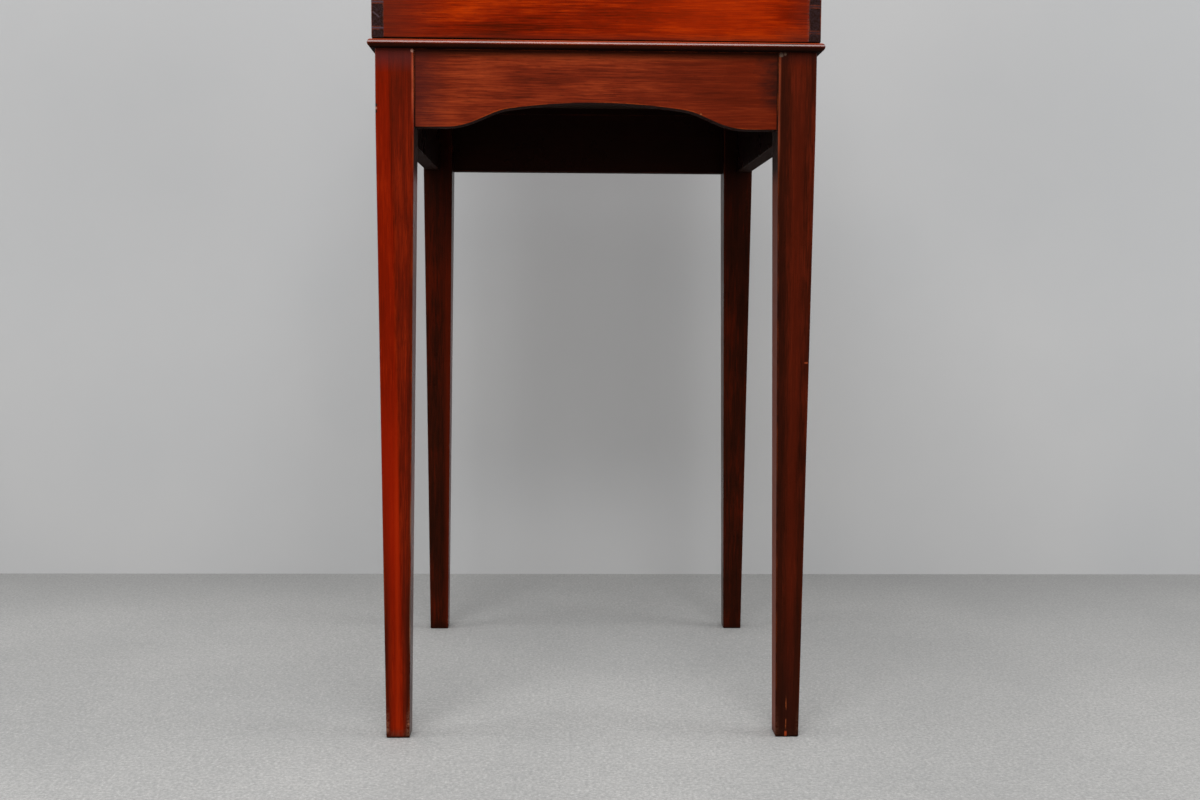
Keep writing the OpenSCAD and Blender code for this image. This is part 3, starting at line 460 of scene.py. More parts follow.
def polished(name, direction, tones, seed, wear, marks, touch, coat):
    """French-polished mahogany. marks are the chips' places, radii and tones, touch shades by place."""
    s = Shader(name)
    colour, fine, ticks = mahogany(s, direction, tones, seed)
    if touch is not None:
        colour = touch(s, colour)
    cut = s.end_grain(direction)
    speck = s.noise(s.place, scale=700.0)
    end_tone = END_GRAIN if name in OPEN_ENDS else tones[0]
    colour = s.mix(cut, colour, s.mix(s.span(speck, 0.35, 0.7), GRIME_AND_PAINTED_SHADE, end_tone))
    patchy = s.noise(s.place, scale=24.0, detail=4.0, rough=0.65)
    worn = s.times(s.edges(0.0022, low=0.965, high=0.995), s.span(patchy, 0.42, 0.62))
    colour = s.shade(colour, worn, RUBBED, share=wear)
    for spot_place, radius, spot_tone in marks:
        colour = s.mix(s.spot(spot_place, radius), colour, spot_tone)
    # Dirt and painted shade darken the corners and gaps
    dirt_and_shade = s.times(s.hollows(0.018), s.span(patchy, 0.2, 0.7, start=0.7, end=1.3))
    colour = s.mix(s.math("MULTIPLY", dirt_and_shade, 1.2, clamp=True), colour, GRIME_AND_PAINTED_SHADE)
    # Painted shade darkens the faces that look down
    below = s.times(s.underside(), LID_UNDERSIDE_SHADE_SHARE if "lid" in name else UNDERSIDE_SHADE_SHARE)
    colour = s.mix(below, colour, GRIME_AND_PAINTED_SHADE)
    smear = s.noise(s.place, scale=9.0, detail=4.0, rough=0.6)
    rough = s.span(smear, 0.3, 0.7, start=0.24, end=0.36)
    rough = s.plus(rough, s.times(cut, 0.25))
    rough = s.rougher(rough, below, by=0.7)
    rough = s.rougher(rough, worn, by=0.2)
    if s.duller is not None:
        rough = s.rougher(rough, s.duller, by=0.28)
    relief = s.minus(s.times(fine, 0.6), s.times(ticks, 0.5))
    normal = s.bump(relief, depth=0.00012, strength=0.5, base=s.rounding(0.0011))
    if coat > 0:
        coat = s.times(s.span(s.upward(), -0.05, 0.22), s.minus(1.0, cut), coat)
    return s.finish(colour, rough, normal, specular=0.16, tint=SHELLAC, coat=coat, coat_ior=1.7)


def dry(name, direction, seed):
    """Unpolished wood, planed and gone brown, stained in patches, with painted shade in the corners."""
    s = Shader(name)
    grain = s.grain(direction, seed)
    broad = s.streaks(grain, along=1.8, across=22, detail=3.0, bend=0.4)
    streak = s.streaks(grain, along=3.0, across=150, detail=4.0, rough=0.6, bend=0.3)
    fine = s.streaks(grain, along=14.0, across=900, rough=0.6)
    flow = s.weigh((broad, 0.4), (streak, 0.4), (fine, 0.2))
    dark, body, light = DRY
    colour = s.ramp(flow, [(0.35, dark), (0.50, body), (0.66, light)])
    stain = s.noise(s.place, scale=11.0, detail=4.0, rough=0.6)
    colour = s.mix(s.span(stain, 0.55, 0.75, end=0.55), colour, DRY_STAIN)
    colour = s.shade(colour, s.end_grain(direction), dark, share=0.65)
    # Painted shade in the corners
    colour = s.shade(colour, s.hollows(0.02), DRY_CORNER_SHADE, share=0.9)
    # Painted shade on the box bottom's underside
    if name == "dry_box_bottom":
        colour = s.shade(colour, s.underside(), DRY_UNDERSIDE_SHADE, share=0.95)
    rough = s.span(stain, 0.3, 0.7, start=0.55, end=0.75)
    normal = s.bump(fine, depth=0.00018, strength=0.6, base=s.rounding(0.0007))
    return s.finish(colour, rough, normal, specular=0.3)


def metal(name, tones, seed, rough_low, rough_high):
    """Old metal: rubbed bright on the edges, brown in the corners, with fine scratches."""
    s = Shader(name)
    place = s.mapping(s.place, move=tuple(seed * step for step in METAL_STEPS))
    cloud = s.noise(place, scale=60.0, detail=4.0, rough=0.6)
    fleck = s.noise(place, scale=900.0)
    lengthwise = s.mapping(place, turn=(0.4, 0.2, 0.6), scale=(60, 2400, 2400))
    scratch = s.noise(lengthwise, detail=1.0)
    dark, body, light = tones
    colour = s.ramp(cloud, [(0.34, dark), (0.52, body), (0.70, light)])
    colour = s.shade(colour, s.edges(0.0008, low=0.96, high=0.995), light, share=0.7)
    grime = s.math("MULTIPLY", s.hollows(0.004), 1.2, clamp=True)
    colour = s.mix(grime, colour, dark)
    rough = s.span(cloud, 0.3, 0.7, start=rough_high, end=rough_low)
    rough = s.rougher(rough, grime, by=0.2)
    relief = s.weigh((fleck, 0.5), (scratch, 0.5))
    normal = s.bump(relief, depth=0.00006, strength=0.5, base=s.rounding(0.0004))
    return s.finish(colour, rough, normal, metal=1.0)


# The place of the right foot's crack, as a share of the leg's width from its outer face
CRACK_ACROSS = 0.56


def leg_shares(s, side):
    """How far down the taper a place is, and how far in from the leg's outer face, both 0 to 1."""
    x, _, height = s.parts(s.place)
    down = s.span(height, KNEE_Z, 0.0)
    from_outer = s.minus(LEG_OUTER_X, s.times(x, side))
    from_outer = s.minus(from_outer, s.times(down, TAPER_OUT))
    width = s.minus(LEG_TOP_W, s.times(down, TAPER_OUT + TAPER_IN))
    return down, s.math("DIVIDE", from_outer, width)


def front_face(s, down):
    """1 on a front leg's tapered front face and its arrises, 0 behind them."""
    level = s.minus(s.parts(s.place)[1], s.times(down, TAPER_OUT))
    return s.span(level, FRONT_Y + 0.0040, FRONT_Y + 0.0020)


def inner_side(s):
    """1 on the faces that look towards the middle of the desk."""
    level = s.vector("MULTIPLY", s.place, (1.0, 1.0, 0.0))
    return s.span(s.dot(level, s.facing), -0.10, -0.20)


def shaded_at_rails(s, colour):
    """A front leg's inner sides are painted nearly black up at the rails, as painted shade. Gives the mask
    and the colour.
    """
    inside = s.times(inner_side(s), s.span(s.height(), 0.762, 0.784))
    return inside, s.shade(colour, inside, PAINTED_SHADE_AT_RAILS, share=0.92)


def rubbed_and_lit_arris(s, colour, down, across, low, tone, share):
    """A front leg's inner arris, rubbed bright above a height: wear together with a painted highlight."""
    line = s.times(s.span(across, 0.930, 0.970), front_face(s, down))
    line = s.times(line, s.span(s.height(), low - 0.02, low + 0.02))
    patchy = s.stretched(s.place, (90.0, 90.0, 30.0), detail=3.0)
    line = s.times(line, s.span(patchy, 0.30, 0.60, start=0.5))
    return s.shade(colour, line, tone, share)


def worn_foot(s, colour, down, across, scuffs):
    """Dark edges low down on a leg, and bare wood at the corners of its foot, by the share in scuffs."""
    height = s.height()
    off_middle = s.off(across, 0.50)
    edge = s.times(s.span(off_middle, 0.18, 0.42), s.span(height, 0.42, 0.14))
    colour = s.shade(colour, edge, LOW_EDGE, share=0.80)
    ragged = s.noise(s.place, scale=320.0, detail=3.0, rough=0.7)
    corner = s.times(s.span(off_middle, 0.32, 0.45), s.span(height, 0.046, 0.010))
    corner = s.times(corner, s.span(ragged, 0.42, 0.56))
    corner = s.times(corner, s.plus(0.35, s.times(front_face(s, down), 0.65)))
    colour = s.shade(colour, corner, BARE_CORNER, share=scuffs)
    rim = s.times(s.span(height, 0.014, 0.004), s.span(ragged, 0.36, 0.54))
    colour = s.shade(colour, rim, BARE_RIM, share=scuffs * 0.6)
    sole = s.span(height, 0.0040, 0.0015)
    return s.shade(colour, sole, GRIME_AND_PAINTED_SHADE, share=0.8)


def pale_arris_line(s, colour, down, across):
    """A pale line along the left leg's inner arris, low down."""
    patches = s.stretched(s.place, (60.0, 60.0, 9.0), detail=3.0)
    line = s.times(s.span(across, 0.955, 0.975), front_face(s, down))
    line = s.times(line, s.span(patches, 0.42, 0.60), s.span(s.height(), 0.42, 0.28))
    return s.shade(colour, line, LEFT_PALE_LINE, share=0.45)


def leg_front_left_touch(s, colour):
    """A bright stripe that widens down the outer side, with brown beside it and a warm line low down."""
    down, across = leg_shares(s, -1.0)
    height = s.height()
    wave = s.stretched(s.place, (0.0, 0.0, 5.0))
    edge = s.weigh((down, 0.36), (wave, 0.16))
    beyond = s.minus(s.minus(across, edge), 0.28)
    fresh = s.times(s.span(height, 0.50, 0.38), s.span(height, 0.14, 0.26))
    stripe = s.times(s.span(beyond, 0.03, -0.03), s.plus(0.34, s.times(fresh, 0.42)))
    colour = s.mix(stripe, colour, LEFT_STRIPE)
    brown = s.span(beyond, 0.0, 0.10)
    colour = s.shade(colour, brown, LEFT_BROWN, share=0.28)
    # Painted shade at the top of the leg, beneath the moulding
    top = s.span(height, 0.905, 0.926)
    colour = s.shade(colour, top, LEFT_TOP_SHADE, share=0.70)
    inner = s.times(s.span(across, 0.80, 0.94), s.span(height, 0.28, 0.44), s.span(height, 0.78, 0.62))
    colour = s.shade(colour, inner, LEFT_INNER, share=0.60)
    colour = rubbed_and_lit_arris(s, colour, down, across, low=0.856, tone=LEFT_ARRIS_WEAR_AND_HIGHLIGHT, share=0.62)
    glow = s.times(s.span(s.off(across, 0.50), 0.11, 0.01), s.span(height, 0.50, 0.32))
    colour = s.shade(colour, glow, LEFT_GLOW, share=0.40)
    colour = worn_foot(s, colour, down, across, scuffs=0.65)
    s.duller, colour = shaded_at_rails(s, colour)
    return pale_arris_line(s, colour, down, across)


def cracked_foot(s, colour, down, across):
    """A short crack up the front of the right foot, with its lip broken pale at the floor."""
    height = s.height()
    front = front_face(s, down)
    off_crack = s.off(across, CRACK_ACROSS)
    lip = s.times(s.span(off_crack, 0.060, 0.035), s.span(height, 0.0095, 0.0070))
    colour = s.mix(s.times(lip, s.times(front, 0.85)), colour, CRACK_LIP)
    broken = s.stretched(s.place, (300.0, 300.0, 90.0))
    split = s.times(s.span(off_crack, 0.030, 0.012), s.span(broken, 0.46, 0.56))
    split = s.times(split, s.span(height, 0.060, 0.045), s.span(height, 0.010, 0.018))
    return s.mix(s.times(split, s.times(front, 0.6)), colour, CRACK_SPLIT)


def leg_front_right_touch(s, colour):
    """A dark band down the inner side, a warm one down the middle, and a dark foot with a small crack."""
    down, across = leg_shares(s, 1.0)
    height = s.height()
    wave = s.stretched(s.place, (0.0, 0.0, 4.0))
    shifted = s.plus(across, s.times(wave, 0.16))
    band = s.span(shifted, 0.78, 0.90)
    colour = s.shade(colour, band, RIGHT_BAND, share=0.50)
    warm = s.times(s.span(shifted, 0.30, 0.45), s.span(shifted, 0.78, 0.62))
    colour = s.shade(colour, warm, RIGHT_WARM, share=0.45)
    # Painted shade at the top of the leg, beneath the moulding
    top = s.span(height, 0.918, 0.934)
    colour = s.shade(colour, top, RIGHT_TOP_SHADE, share=0.5)
    foot = s.span(height, 0.20, 0.05)
    colour = s.shade(colour, foot, RIGHT_FOOT, share=0.75)
    colour = worn_foot(s, colour, down, across, scuffs=0.15)
    colour = rubbed_and_lit_arris(s, colour, down, across, low=0.795, tone=RIGHT_ARRIS_WEAR_AND_HIGHLIGHT, share=0.52)
    s.duller = inner_side(s)
    # A paler brown low down on the inner side, painted to stand for the wall's reflection there
    brown = s.times(s.duller, s.span(height, 0.80, 0.05, start=0.60, end=0.95))
    colour = s.mix(brown, colour, RIGHT_SIDE_REFLECTION)
    colour = shaded_at_rails(s, colour)[1]
    return cracked_foot(s, colour, down, across)


def leg_back_right_touch(s, colour):
    """Dark in the desk's shade."""
    shade = s.span(s.height(), 0.66, 0.84)
    return s.shade(colour, shade, BACK_SHADE, share=0.7)


def leg_back_left_touch(s, colour):
    """Warmer down the inner side, and dark in the desk's shade as the right one is."""
    x, _, height = s.parts(s.place)
    warm = s.times(s.span(x, -0.2620, -0.2540), s.span(height, 0.80, 0.62))
    colour = s.shade(colour, warm, BACK_WARM, share=0.6)
    return leg_back_right_touch(s, colour)


def rail_touch(s, colour):
    """The rails' inner sides are painted nearly black with painted shade."""
    return s.shade(colour, inner_side(s), RAIL_INSIDE_SHADE, share=0.93)


def box_front_touch(s, colour):
    """Dull at both ends and low down, warm right of the middle, dark at the pins, and with painted shadow
    in the slit at its foot.
    """
    x, _, height = s.parts(s.place)
    warm = s.times(s.span(x, 0.010, 0.130), s.span(x, 0.255, 0.215), s.span(height, 0.952, 0.966))
    colour = s.shade(colour, warm, BOX_WARM, share=0.30)
    left = s.span(x, -0.190, -0.275)
    right = s.span(x, 0.250, 0.282)
    low = s.span(height, 0.960, 0.951)
    corner = s.times(s.span(x, 0.222, 0.262), s.span(height, 0.972, 0.955))
    dull = s.highest(left, s.times(low, 0.6), s.times(right, 0.7), corner)
    colour = s.shade(colour, dull, BOX_DULL, share=0.75)
    fleck = s.noise(s.place, scale=900.0)
    rubbed = s.times(s.span(x, 0.2780, 0.2812), s.span(fleck, 0.50, 0.62))
    colour = s.shade(colour, rubbed, BOX_RUBBED, share=0.25)
    # Painted shadow in the slit between the box and the moulding
    gap = s.times(s.span(height, 0.9516, 0.9508), s.span(x, -0.08, -0.17))
    colour = s.shade(colour, gap, BOX_GAP_SHADE, share=0.95)
    pins = s.span(s.math("ABSOLUTE", x), PINS_X - PINS_BLUR, PINS_X + PINS_BLUR)
    tone = s.mix(s.span(x, -0.10, 0.10), PINS_LEFT, PINS_RIGHT)
    return s.shade(colour, pins, tone, share=0.92)


def apron_touch(s, colour):
    """Darker towards the right end, with dark patches at both ends, painted shadow beneath the moulding,
    and a dark joint line with painted shade beside each leg.
    """
    x, _, height = s.parts(s.place)
    right = s.span(x, 0.02, 0.20)
    colour = s.shade(colour, right, APRON_RIGHT, share=0.60)
    ragged = s.stretched(s.place, (30.0, 30.0, 90.0), detail=4.0, rough=0.6)
    shifted = s.plus(x, s.times(s.minus(ragged, 0.5), 0.07))
    corner = s.times(s.span(shifted, 0.212, 0.240), s.span(height, 0.856, 0.872))
    colour = s.shade(colour, corner, APRON_CORNER, share=0.85)
    # Painted shadow beneath the moulding
    moulding_shadow = s.span(height, 0.924, 0.934)
    colour = s.shade(colour, moulding_shadow, GRIME_AND_PAINTED_SHADE, share=0.85)
    stain = s.noise(s.place, scale=26.0, detail=3.0)
    left = s.times(s.span(x, -0.195, -0.236), s.span(stain, 0.20, 0.50, start=0.4))
    colour = s.shade(colour, left, APRON_LEFT, share=0.65)
    # A dark joint line beside each leg, deepened with painted shade where the apron is set back
    joint = s.span(s.math("ABSOLUTE", x), APRON_HALF - 0.0030, APRON_HALF - 0.0012)
    return s.shade(colour, joint, APRON_JOINT_DIRT_AND_SHADE, share=0.92)


def moulding_touch(s, colour):
    """Painted light along the upward-facing top of the nose, and painted shade over its lower half."""
    up = s.upward()
    # Painted light on the faces that look up
    lit_crown = s.times(s.span(up, 0.55, 0.80), s.span(up, 0.999, 0.985))
    colour = s.shade(colour, lit_crown, NOSE_CROWN_LIGHT, share=0.8)
    # Painted shade over the lower half, which looks down
    down = s.span(up, 0.14, -0.20)
    return s.shade(colour, down, NOSE_BELOW_SHADE, share=0.95)


def on_front(x, height):
    """A place on a front leg's front face."""
    return (x, FRONT_Y + TAPER_OUT * max(0.0, 1 - height / KNEE_Z), height)


# Chips: where they are, how far they reach, and their tones
CHIPS_LEFT_LEG = (
    (on_front(-0.2448, 0.9338), 0.0016, paint(204, 146, 128)),
    (on_front(-0.2936, 0.8625), 0.0016, paint(34, 16, 12)),
    (on_front(-0.2932, 0.8585), 0.0010, paint(150, 104, 86)),
    (on_front(-0.2934, 0.8545), 0.0014, paint(44, 20, 15)),
    (on_front(-0.2552, 0.0200), 0.0010, SCUFFED),
    (on_front(-0.2858, 0.0120), 0.0012, SCUFFED),
)
CHIPS_RIGHT_LEG = (
    (on_front(0.2460, 0.9335), 0.0024, paint(92, 76, 66)),
    (on_front(0.2515, 0.9345), 0.0014, paint(100, 80, 68)),
    (on_front(0.2852, 0.5222), 0.0003, paint(112, 44, 22)),
    (on_front(0.2868, 0.5222), 0.0004, paint(136, 58, 30)),
    (on_front(0.2884, 0.5222), 0.0004, paint(136, 58, 30)),
)
CHIPS_APRON = (
    ((0.1395, FRONT_Y + 0.003, 0.8545), 0.0008, paint(150, 84, 46)),
)
# A scratch down across the left side board's end grain, as a row of small spots
SCRATCH_START = Vector((-0.2953, BOX_FRONT_Y, 0.9828))
SCRATCH_END = Vector((-0.2879, BOX_FRONT_Y, 0.9767))
SCRATCH_SPOTS = 6
SCRATCH_R = 0.0002
SCRATCH_TONE = paint(70, 60, 66)
SCRATCH = tuple(
    (tuple(SCRATCH_START.lerp(SCRATCH_END, i / (SCRATCH_SPOTS - 1))), SCRATCH_R, SCRATCH_TONE)
    for i in range(SCRATCH_SPOTS)
)

# Every polished node with its grain direction, tones, amount of edge wear, chips and touch
POLISHED = {
    "leg_front_left": ("Z", RED, 0.3, CHIPS_LEFT_LEG, leg_front_left_touch),
    "leg_front_right": ("Z", DEEP, 0.2, CHIPS_RIGHT_LEG, leg_front_right_touch),
    "leg_back_left": ("Z", DARK_WOOD_AND_SHADE, 0.12, (), leg_back_left_touch),
    "leg_back_right": ("Z", DARK_WOOD_AND_SHADE, 0.12, (), leg_back_right_touch),
    "front_apron": ("X", WARM, 0.8, CHIPS_APRON, apron_touch),
    "back_rail": ("X", DARK_WOOD_AND_SHADE, 0.1, (), rail_touch),
    "side_rail_left": ("Y", DEEP, 0.1, (), rail_touch),
    "side_rail_right": ("Y", DEEP, 0.1, (), rail_touch),
    "moulding_front": ("X", NOSE, 0.3, (), moulding_touch),
    "moulding_left": ("Y", NOSE, 0.3, (), moulding_touch),
    "moulding_right": ("Y", NOSE, 0.3, (), moulding_touch),
    "back_fillet": ("X", DARK_WOOD_AND_SHADE, 0.1, (), rail_touch),
    "glue_blocks": ("Z", DARK_WOOD_AND_SHADE, 0.1, (), None),
    "box_front": ("X", BRIGHT, 0.08, (), box_front_touch),
    "box_back": ("X", RED, 0.5, (), None),
    "box_side_left": ("Y", RED, 0.5, SCRATCH, None),
    "box_side_right": ("Y", RED, 0.5, (), None),
    "top_ledge": ("X", BRIGHT, 0.6, (), None),
    "drawer_left_front": ("X", WARM, 0.4, (), None),
    "drawer_right_front": ("X", WARM, 0.4, (), None),
    "lid_panel": ("X", BRIGHT, 0.6, (), None),
    "lid_cleat_left": ("SLOPE", RED, 0.6, (), None),
    "lid_cleat_right": ("SLOPE", RED, 0.6, (), None),
    "book_rest": ("X", RED, 0.8, (), None),
}
MOULDING_COAT = 0.8
# The dry boards' grain directions, and the seed that their figures start from
DRY_GRAIN = {
    "box_bottom": "X",
    "upright_left": "Y",
    "upright_right": "Y",
    "lower_shelf": "X",
    "upper_shelf": "X",
}
DRAWER_GRAIN = {"side_l": "Y", "side_r": "Y", "back": "X", "bottom": "X"}
DRY_SEED = 40
STEEL_NODES = ("stay_screws", "lock_bolt")


# The screws' profiles, as radius and depth below the head's face, and the slot in the head
WOOD_SCREW = ((0.0030, 0.0), (0.0015, 0.0018))
STAY_SCREW = ((0.0046, 0.0), (0.0046, 0.0025), (0.0025, 0.0025))
SLOT_HALF = 0.0004
SLOT_DEPTH = 0.0008
ARC_STEPS = 10
# How far each screw's slot is turned from the one before it, in degrees
SLOT_TURN = 37

# The middles of the hinges, in from the ledge's ends, and their screws from the hinge's axis
HINGE_IN = 0.1224
HINGE_SCREW_GAP = 0.020
LEAF_GAP = 0.0003
LEAF_MIDDLE = 0.008
HINGE_SCREW_L = 0.016
LOCK_SCREW_L = 0.008

# The height where the slope meets the box's front face, the strike plate's middle up that slope,
# and the gap between the slope and the lid
SLOPE_Z = 1.0759
STRIKE_V = 0.00903
REST_GAP = 0.0003

SIDES = (-1, 1)
# The turn that points a screw straight up
OVER = Matrix.Rotation(math.pi, 4, "X")


def slotted_screw(profile, length):
    """Points and faces of a screw that points along -Z, its head's face at 0 with a slot along X."""
    head_r, neck = profile[0][0], profile[1]
    slot_r = head_r + (neck[0] - head_r) * SLOT_DEPTH / neck[1]
    rings = [(head_r, 0.0), (slot_r, SLOT_DEPTH)] + list(profile[1:]) + [(profile[-1][0], length)]
    lip = math.asin(SLOT_HALF / head_r)
    arc = [lip + (math.pi - 2 * lip) * i / ARC_STEPS for i in range(ARC_STEPS + 1)]
    angles = arc + [math.pi + angle for angle in arc]
    count = len(angles)
    half = count // 2
    points = [(r * math.cos(a), r * math.sin(a), -depth) for r, depth in rings for a in angles]
    # The two halves of the head's face, then the sides, left open where the slot runs out
    faces = [tuple(range(half)), tuple(range(half, count))]
    for ring in range(len(rings) - 1):
        for i in range(count):
            if ring == 0 and i in (half - 1, count - 1):
                continue
            after = (i + 1) % count
            top, low = ring * count, (ring + 1) * count
            faces.append((top + i, low + i, low + after, top + after))
    # The slot's two walls and its floor, then the tip
    faces.append((0, half - 1, count + half - 1, count))
    faces.append((half, count - 1, 2 * count - 1, count + half))
    faces.append((count, count + half - 1, count + half, 2 * count - 1))
    last = (len(rings) - 1) * count
    faces.append(tuple(last + i for i in reversed(range(count))))
    return points, faces


def screw_set(node, body, material, profile, length, places):
    """One piece for all the screws of a CAD node. places are matrices, the head's face outwards along Z."""
    points = []
    faces = []
    for index, place in enumerate(places):
        start = len(points)
        turned = place @ Matrix.Rotation(math.radians(SLOT_TURN * index), 4, "Z")
        made, sides = slotted_screw(profile, length)
        points += [tuple(turned @ Vector(point)) for point in made]
        faces += [tuple(start + i for i in side) for side in sides]
    mesh = bpy.data.meshes.new(node + "_slotted")
    mesh.from_pydata(points, [], faces)
    mesh.update()
    mesh.materials.append(material)
    piece = bpy.data.objects.new(node + "_slotted", mesh)
    bpy.context.scene.collection.objects.link(piece)
    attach(piece, body)
    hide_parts(node)


def hinge_screws(brass):
    """Three screws in each leaf of both hinges, on the ledge and on the lid."""
    hinge = next(joint for joint in frame["joints"] if joint["name"] == "lid_hinge")
    axis = Matrix.Translation(Vector(hinge["pos_m"])) @ Matrix.Rotation(SLOPE / 2, 4, "X")
    ledge_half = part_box("top_ledge")[1][0]
    across = [side * (ledge_half - HINGE_IN) + step for side in SIDES
              for step in (-HINGE_SCREW_GAP, 0.0, HINGE_SCREW_GAP)]
    for node, body, side in (("hinge_screws_ledge", "desk", 1), ("hinge_screws_lid", "lid", -1)):
        outwards = Matrix.Rotation(side * math.pi / 2, 4, "X")
        leaf = [Matrix.Translation((x, side * LEAF_GAP / 2, -LEAF_MIDDLE)) for x in across]
        places = [axis @ spot @ outwards for spot in leaf]
        screw_set(node, body, brass, WOOD_SCREW, HINGE_SCREW_L, places)


def lock_screws(brass):
    """The four screws of the lock's case."""
    head_r = WOOD_SCREW[0][0]
    low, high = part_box("lock_screws")
    spread = high[0] - head_r
    outwards = Matrix.Rotation(-math.pi / 2, 4, "X")
    places = [Matrix.Translation((side * spread, high[1], z)) @ outwards
              for side in SIDES for z in (low[2] + head_r, high[2] - head_r)]
    screw_set("lock_screws", "desk", brass, WOOD_SCREW, LOCK_SCREW_L, places)


def strike_screws(brass):
    """The two screws of the strike plate, up into the lid."""
    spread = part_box("strike_screws")[1][0] - WOOD_SCREW[0][0]
    slope = Matrix.Translation((0, BOX_FRONT_Y, SLOPE_Z)) @ Matrix.Rotation(SLOPE, 4, "X")
    places = [slope @ Matrix.Translation((side * spread, STRIKE_V, REST_GAP)) @ OVER for side in SIDES]
    screw_set("strike_screws", "lid", brass, WOOD_SCREW, LOCK_SCREW_L, places)


def stay_screws(steel):
    """The four screws up through the glue blocks into the box."""
    head_r = STAY_SCREW[0][0]
    low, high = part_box("stay_screws")
    spread = high[0] - head_r
    places = [Matrix.Translation((side * spread, y, low[2])) @ OVER
              for side in SIDES for y in (low[1] + head_r, high[1] - head_r)]
    screw_set("stay_screws", "desk", steel, STAY_SCREW, high[2] - low[2], places)


def wood_finishes():
    """A finish for every wooden node, by the node's name."""
    finishes = {}
    for seed, (name, (direction, tones, wear, marks, touch)) in enumerate(POLISHED.items(), start=1):
        coat = MOULDING_COAT if name.startswith("moulding") else 0.0
        finishes[name] = polished("polished_" + name, direction, tones, seed, wear, marks, touch, coat)
    grains = dict(DRY_GRAIN)
    for side in ("left", "right"):
        for part, direction in DRAWER_GRAIN.items():
            grains[f"drawer_{side}_{part}"] = direction
    for seed, (name, direction) in enumerate(grains.items(), start=DRY_SEED):
        finishes[name] = dry("dry_" + name, direction, seed)
    return finishes


def dress_nodes():
    """Gives every CAD node its own finish, and the screws their slots."""
    finishes = wood_finishes()
    brass = metal("old_brass", BRASS, seed=3, rough_low=0.24, rough_high=0.46)
    steel = metal("dull_steel", STEEL, seed=7, rough_low=0.35, rough_high=0.6)
    for name, node in frame["nodes"].items():
        plain = steel if name in STEEL_NODES else brass
        node.data.materials.clear()
        node.data.materials.append(finishes.get(name, plain))
    hinge_screws(brass)
    lock_screws(brass)
    strike_screws(brass)
    stay_screws(steel)


def flat_sheet(name, corners, material):
    """A flat part of the room."""
    mesh = bpy.data.meshes.new(name)
    mesh.from_pydata(corners, [], [tuple(range(len(corners)))])
    mesh.materials.append(material)
    sheet = bpy.data.objects.new(name, mesh)
    bpy.context.scene.collection.objects.link(sheet)


def floor_material():
    """Pale speckled concrete, with painted shade that makes it a little darker towards the wall and on the
    right.
    """
    s = Shader("concrete")
    cloud = s.noise(s.place, scale=1.7, detail=5.0, rough=0.6)
    fleck = s.noise(s.place, scale=55.0, detail=4.0, rough=0.7)
    mixed = s.weigh((cloud, 0.6), (fleck, 0.4))
    colour = s.ramp(mixed, [(0.35, CONCRETE[0]), (0.65, CONCRETE[1])])
    grit = s.noise(s.place, scale=210.0, detail=4.0, rough=0.85)
    colour = s.mix(s.span(grit, 0.46, 0.60, end=0.65), colour, CONCRETE_DARK_GRIT)
    colour = s.mix(s.span(grit, 0.44, 0.34, end=0.60), colour, CONCRETE_PALE_GRIT)
    x, y, _ = s.parts(s.place)
    aside = s.math("ABSOLUTE", x)
    # Painted shade: darker towards the back, near the wall and on the right
    back = s.span(y, -0.45, 0.25, end=0.15, smooth=True)
    near_wall = s.span(y, WALL_Y - WALL_SHADE_REACH, WALL_Y, end=0.32, smooth=True)
    near_wall = s.times(near_wall, s.span(aside, 0.2, 1.0, start=0.25, smooth=True))
    right = s.span(x, 0.05, 0.50, end=0.14, smooth=True)
    for darker in (back, near_wall, right):
        colour = s.mix(darker, colour, FLOOR_SHADE)
    normal = s.bump(fleck, depth=0.0008, strength=0.25)
    rough = s.span(cloud, 0.3, 0.7, start=0.6, end=0.8)
    return s.finish(colour, rough, normal, specular=0.3)


def clear_from_behind(s):
    """Lets a wall be looked through from behind, so that the desk's back can be seen."""
    clear = s.node("ShaderNodeBsdfTransparent")
    both = s.node("ShaderNodeMixShader")
    behind = s.node("ShaderNodeNewGeometry").outputs["Backfacing"]
    s.link(behind, both.inputs[0])
    s.link(s.bsdf.outputs["BSDF"], both.inputs[1])
    s.link(clear.outputs["BSDF"], both.inputs[2])
    s.link(both.outputs[0], s.output.inputs["Surface"])


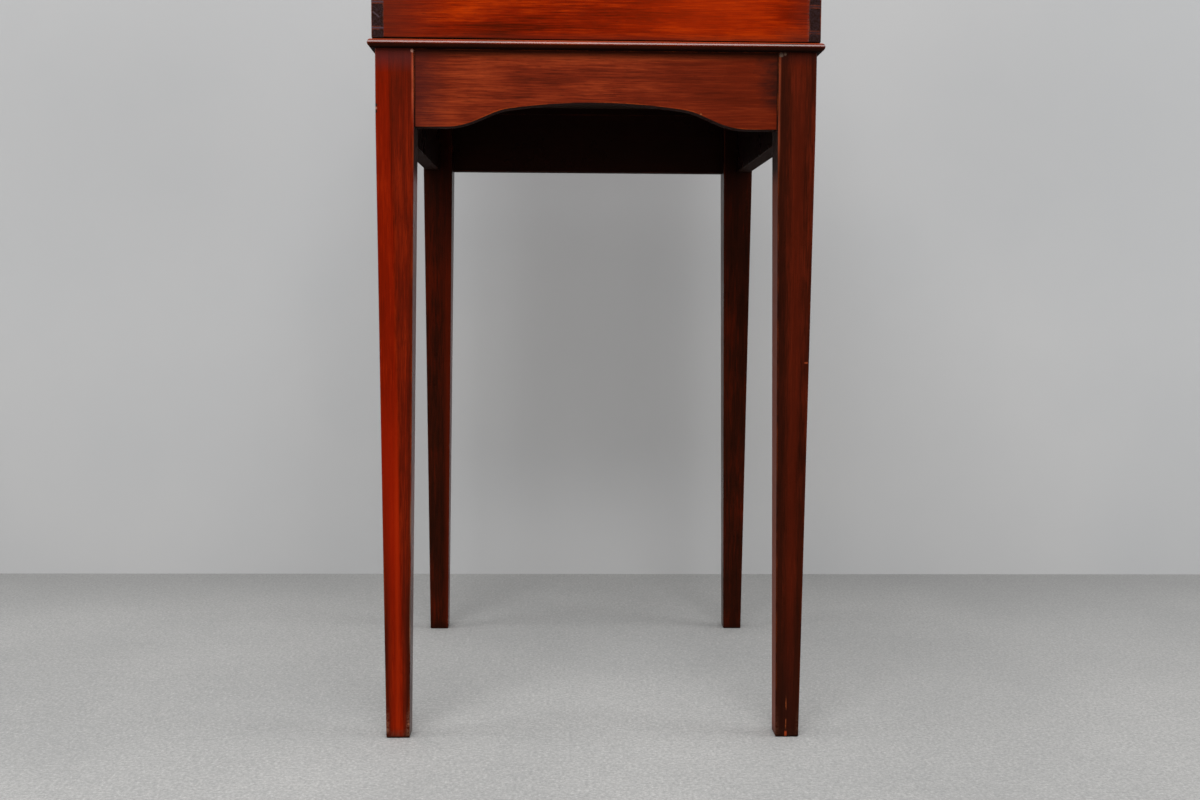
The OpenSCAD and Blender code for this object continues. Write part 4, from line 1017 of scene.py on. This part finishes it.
def wall_material():
    """Pale plaster, with painted shade a little darker up at the sides and painted light paler low down in
    the middle.
    """
    s = Shader("plaster")
    cloud = s.noise(s.place, scale=1.1, detail=4.0, rough=0.55)
    fleck = s.noise(s.place, scale=90.0, detail=3.0, rough=0.7)
    colour = s.ramp(cloud, [(0.35, PLASTER[0]), (0.65, PLASTER[1])])
    x, _, height = s.parts(s.place)
    aside = s.math("ABSOLUTE", x)
    # Painted shade, up at the sides
    high = s.times(s.span(height, 0.5, 1.1, smooth=True), s.span(aside, 0.3, 1.0, smooth=True))
    colour = s.shade(colour, high, PLASTER_CORNERS_SHADE, share=0.22)
    # Painted light low down in the middle, lightening the desk's shadow there
    low = s.times(s.span(height, 0.30, 0.05, smooth=True), s.span(aside, 0.5, 0.1, smooth=True))
    colour = s.shade(colour, low, PLASTER_LOW_LIGHT, share=0.75)
    normal = s.bump(fleck, depth=0.0005, strength=0.15)
    material = s.finish(colour, 0.85, normal, specular=0.2)
    clear_from_behind(s)
    return material


def make_room():
    """The floor, and the wall behind the desk."""
    half = FLOOR_SIZE / 2
    floor = [(-half, -half, 0), (half, -half, 0), (half, half, 0), (-half, half, 0)]
    flat_sheet("floor", floor, floor_material())
    left_y = WALL_Y + half * WALL_TURN
    right_y = WALL_Y - half * WALL_TURN
    wall = [
        (-half, left_y, 0),
        (half, right_y, 0),
        (half, right_y, WALL_HEIGHT),
        (-half, left_y, WALL_HEIGHT),
    ]
    flat_sheet("wall", wall, wall_material())


def lamp(name, place, aim, size, power):
    """A soft rectangular lamp at a place, turned to look at another."""
    data = bpy.data.lights.new(name, "AREA")
    data.shape = "RECTANGLE"
    data.size, data.size_y = size
    data.energy = power
    made = bpy.data.objects.new(name, data)
    bpy.context.scene.collection.objects.link(made)
    made.location = place
    made.rotation_euler = (Vector(aim) - Vector(place)).to_track_quat("-Z", "Y").to_euler()
    return made


def make_light():
    """A key lamp in front and above, one from each side, and a low fill that nothing mirrors."""
    lamp("key", place=(-0.3, -2.9, 3.35), aim=(0.0, 0.2, 0.6), size=(3.0, 2.2), power=110.0)
    lamp("left", place=(-3.2, -0.6, 2.0), aim=(0.0, 0.5, 0.6), size=(1.6, 1.6), power=28.0)
    lamp("right", place=(3.2, -0.6, 1.8), aim=(0.4, 0.6, 0.5), size=(1.6, 1.6), power=34.0)
    fill = lamp("fill", place=(0.0, -4.3, 0.95), aim=(0.0, 0.7, 0.25), size=(1.8, 0.8), power=22.0)
    fill.visible_glossy = False
    world = bpy.data.worlds.new("room")
    bpy.context.scene.world = world
    world.use_nodes = True
    ground = world.node_tree.nodes["Background"]
    ground.inputs["Color"].default_value = WHITE
    ground.inputs["Strength"].default_value = WORLD_LEVEL


make_camera()
dress_nodes()
make_room()
make_light()
bpy.context.scene.view_settings.view_transform = "Standard"
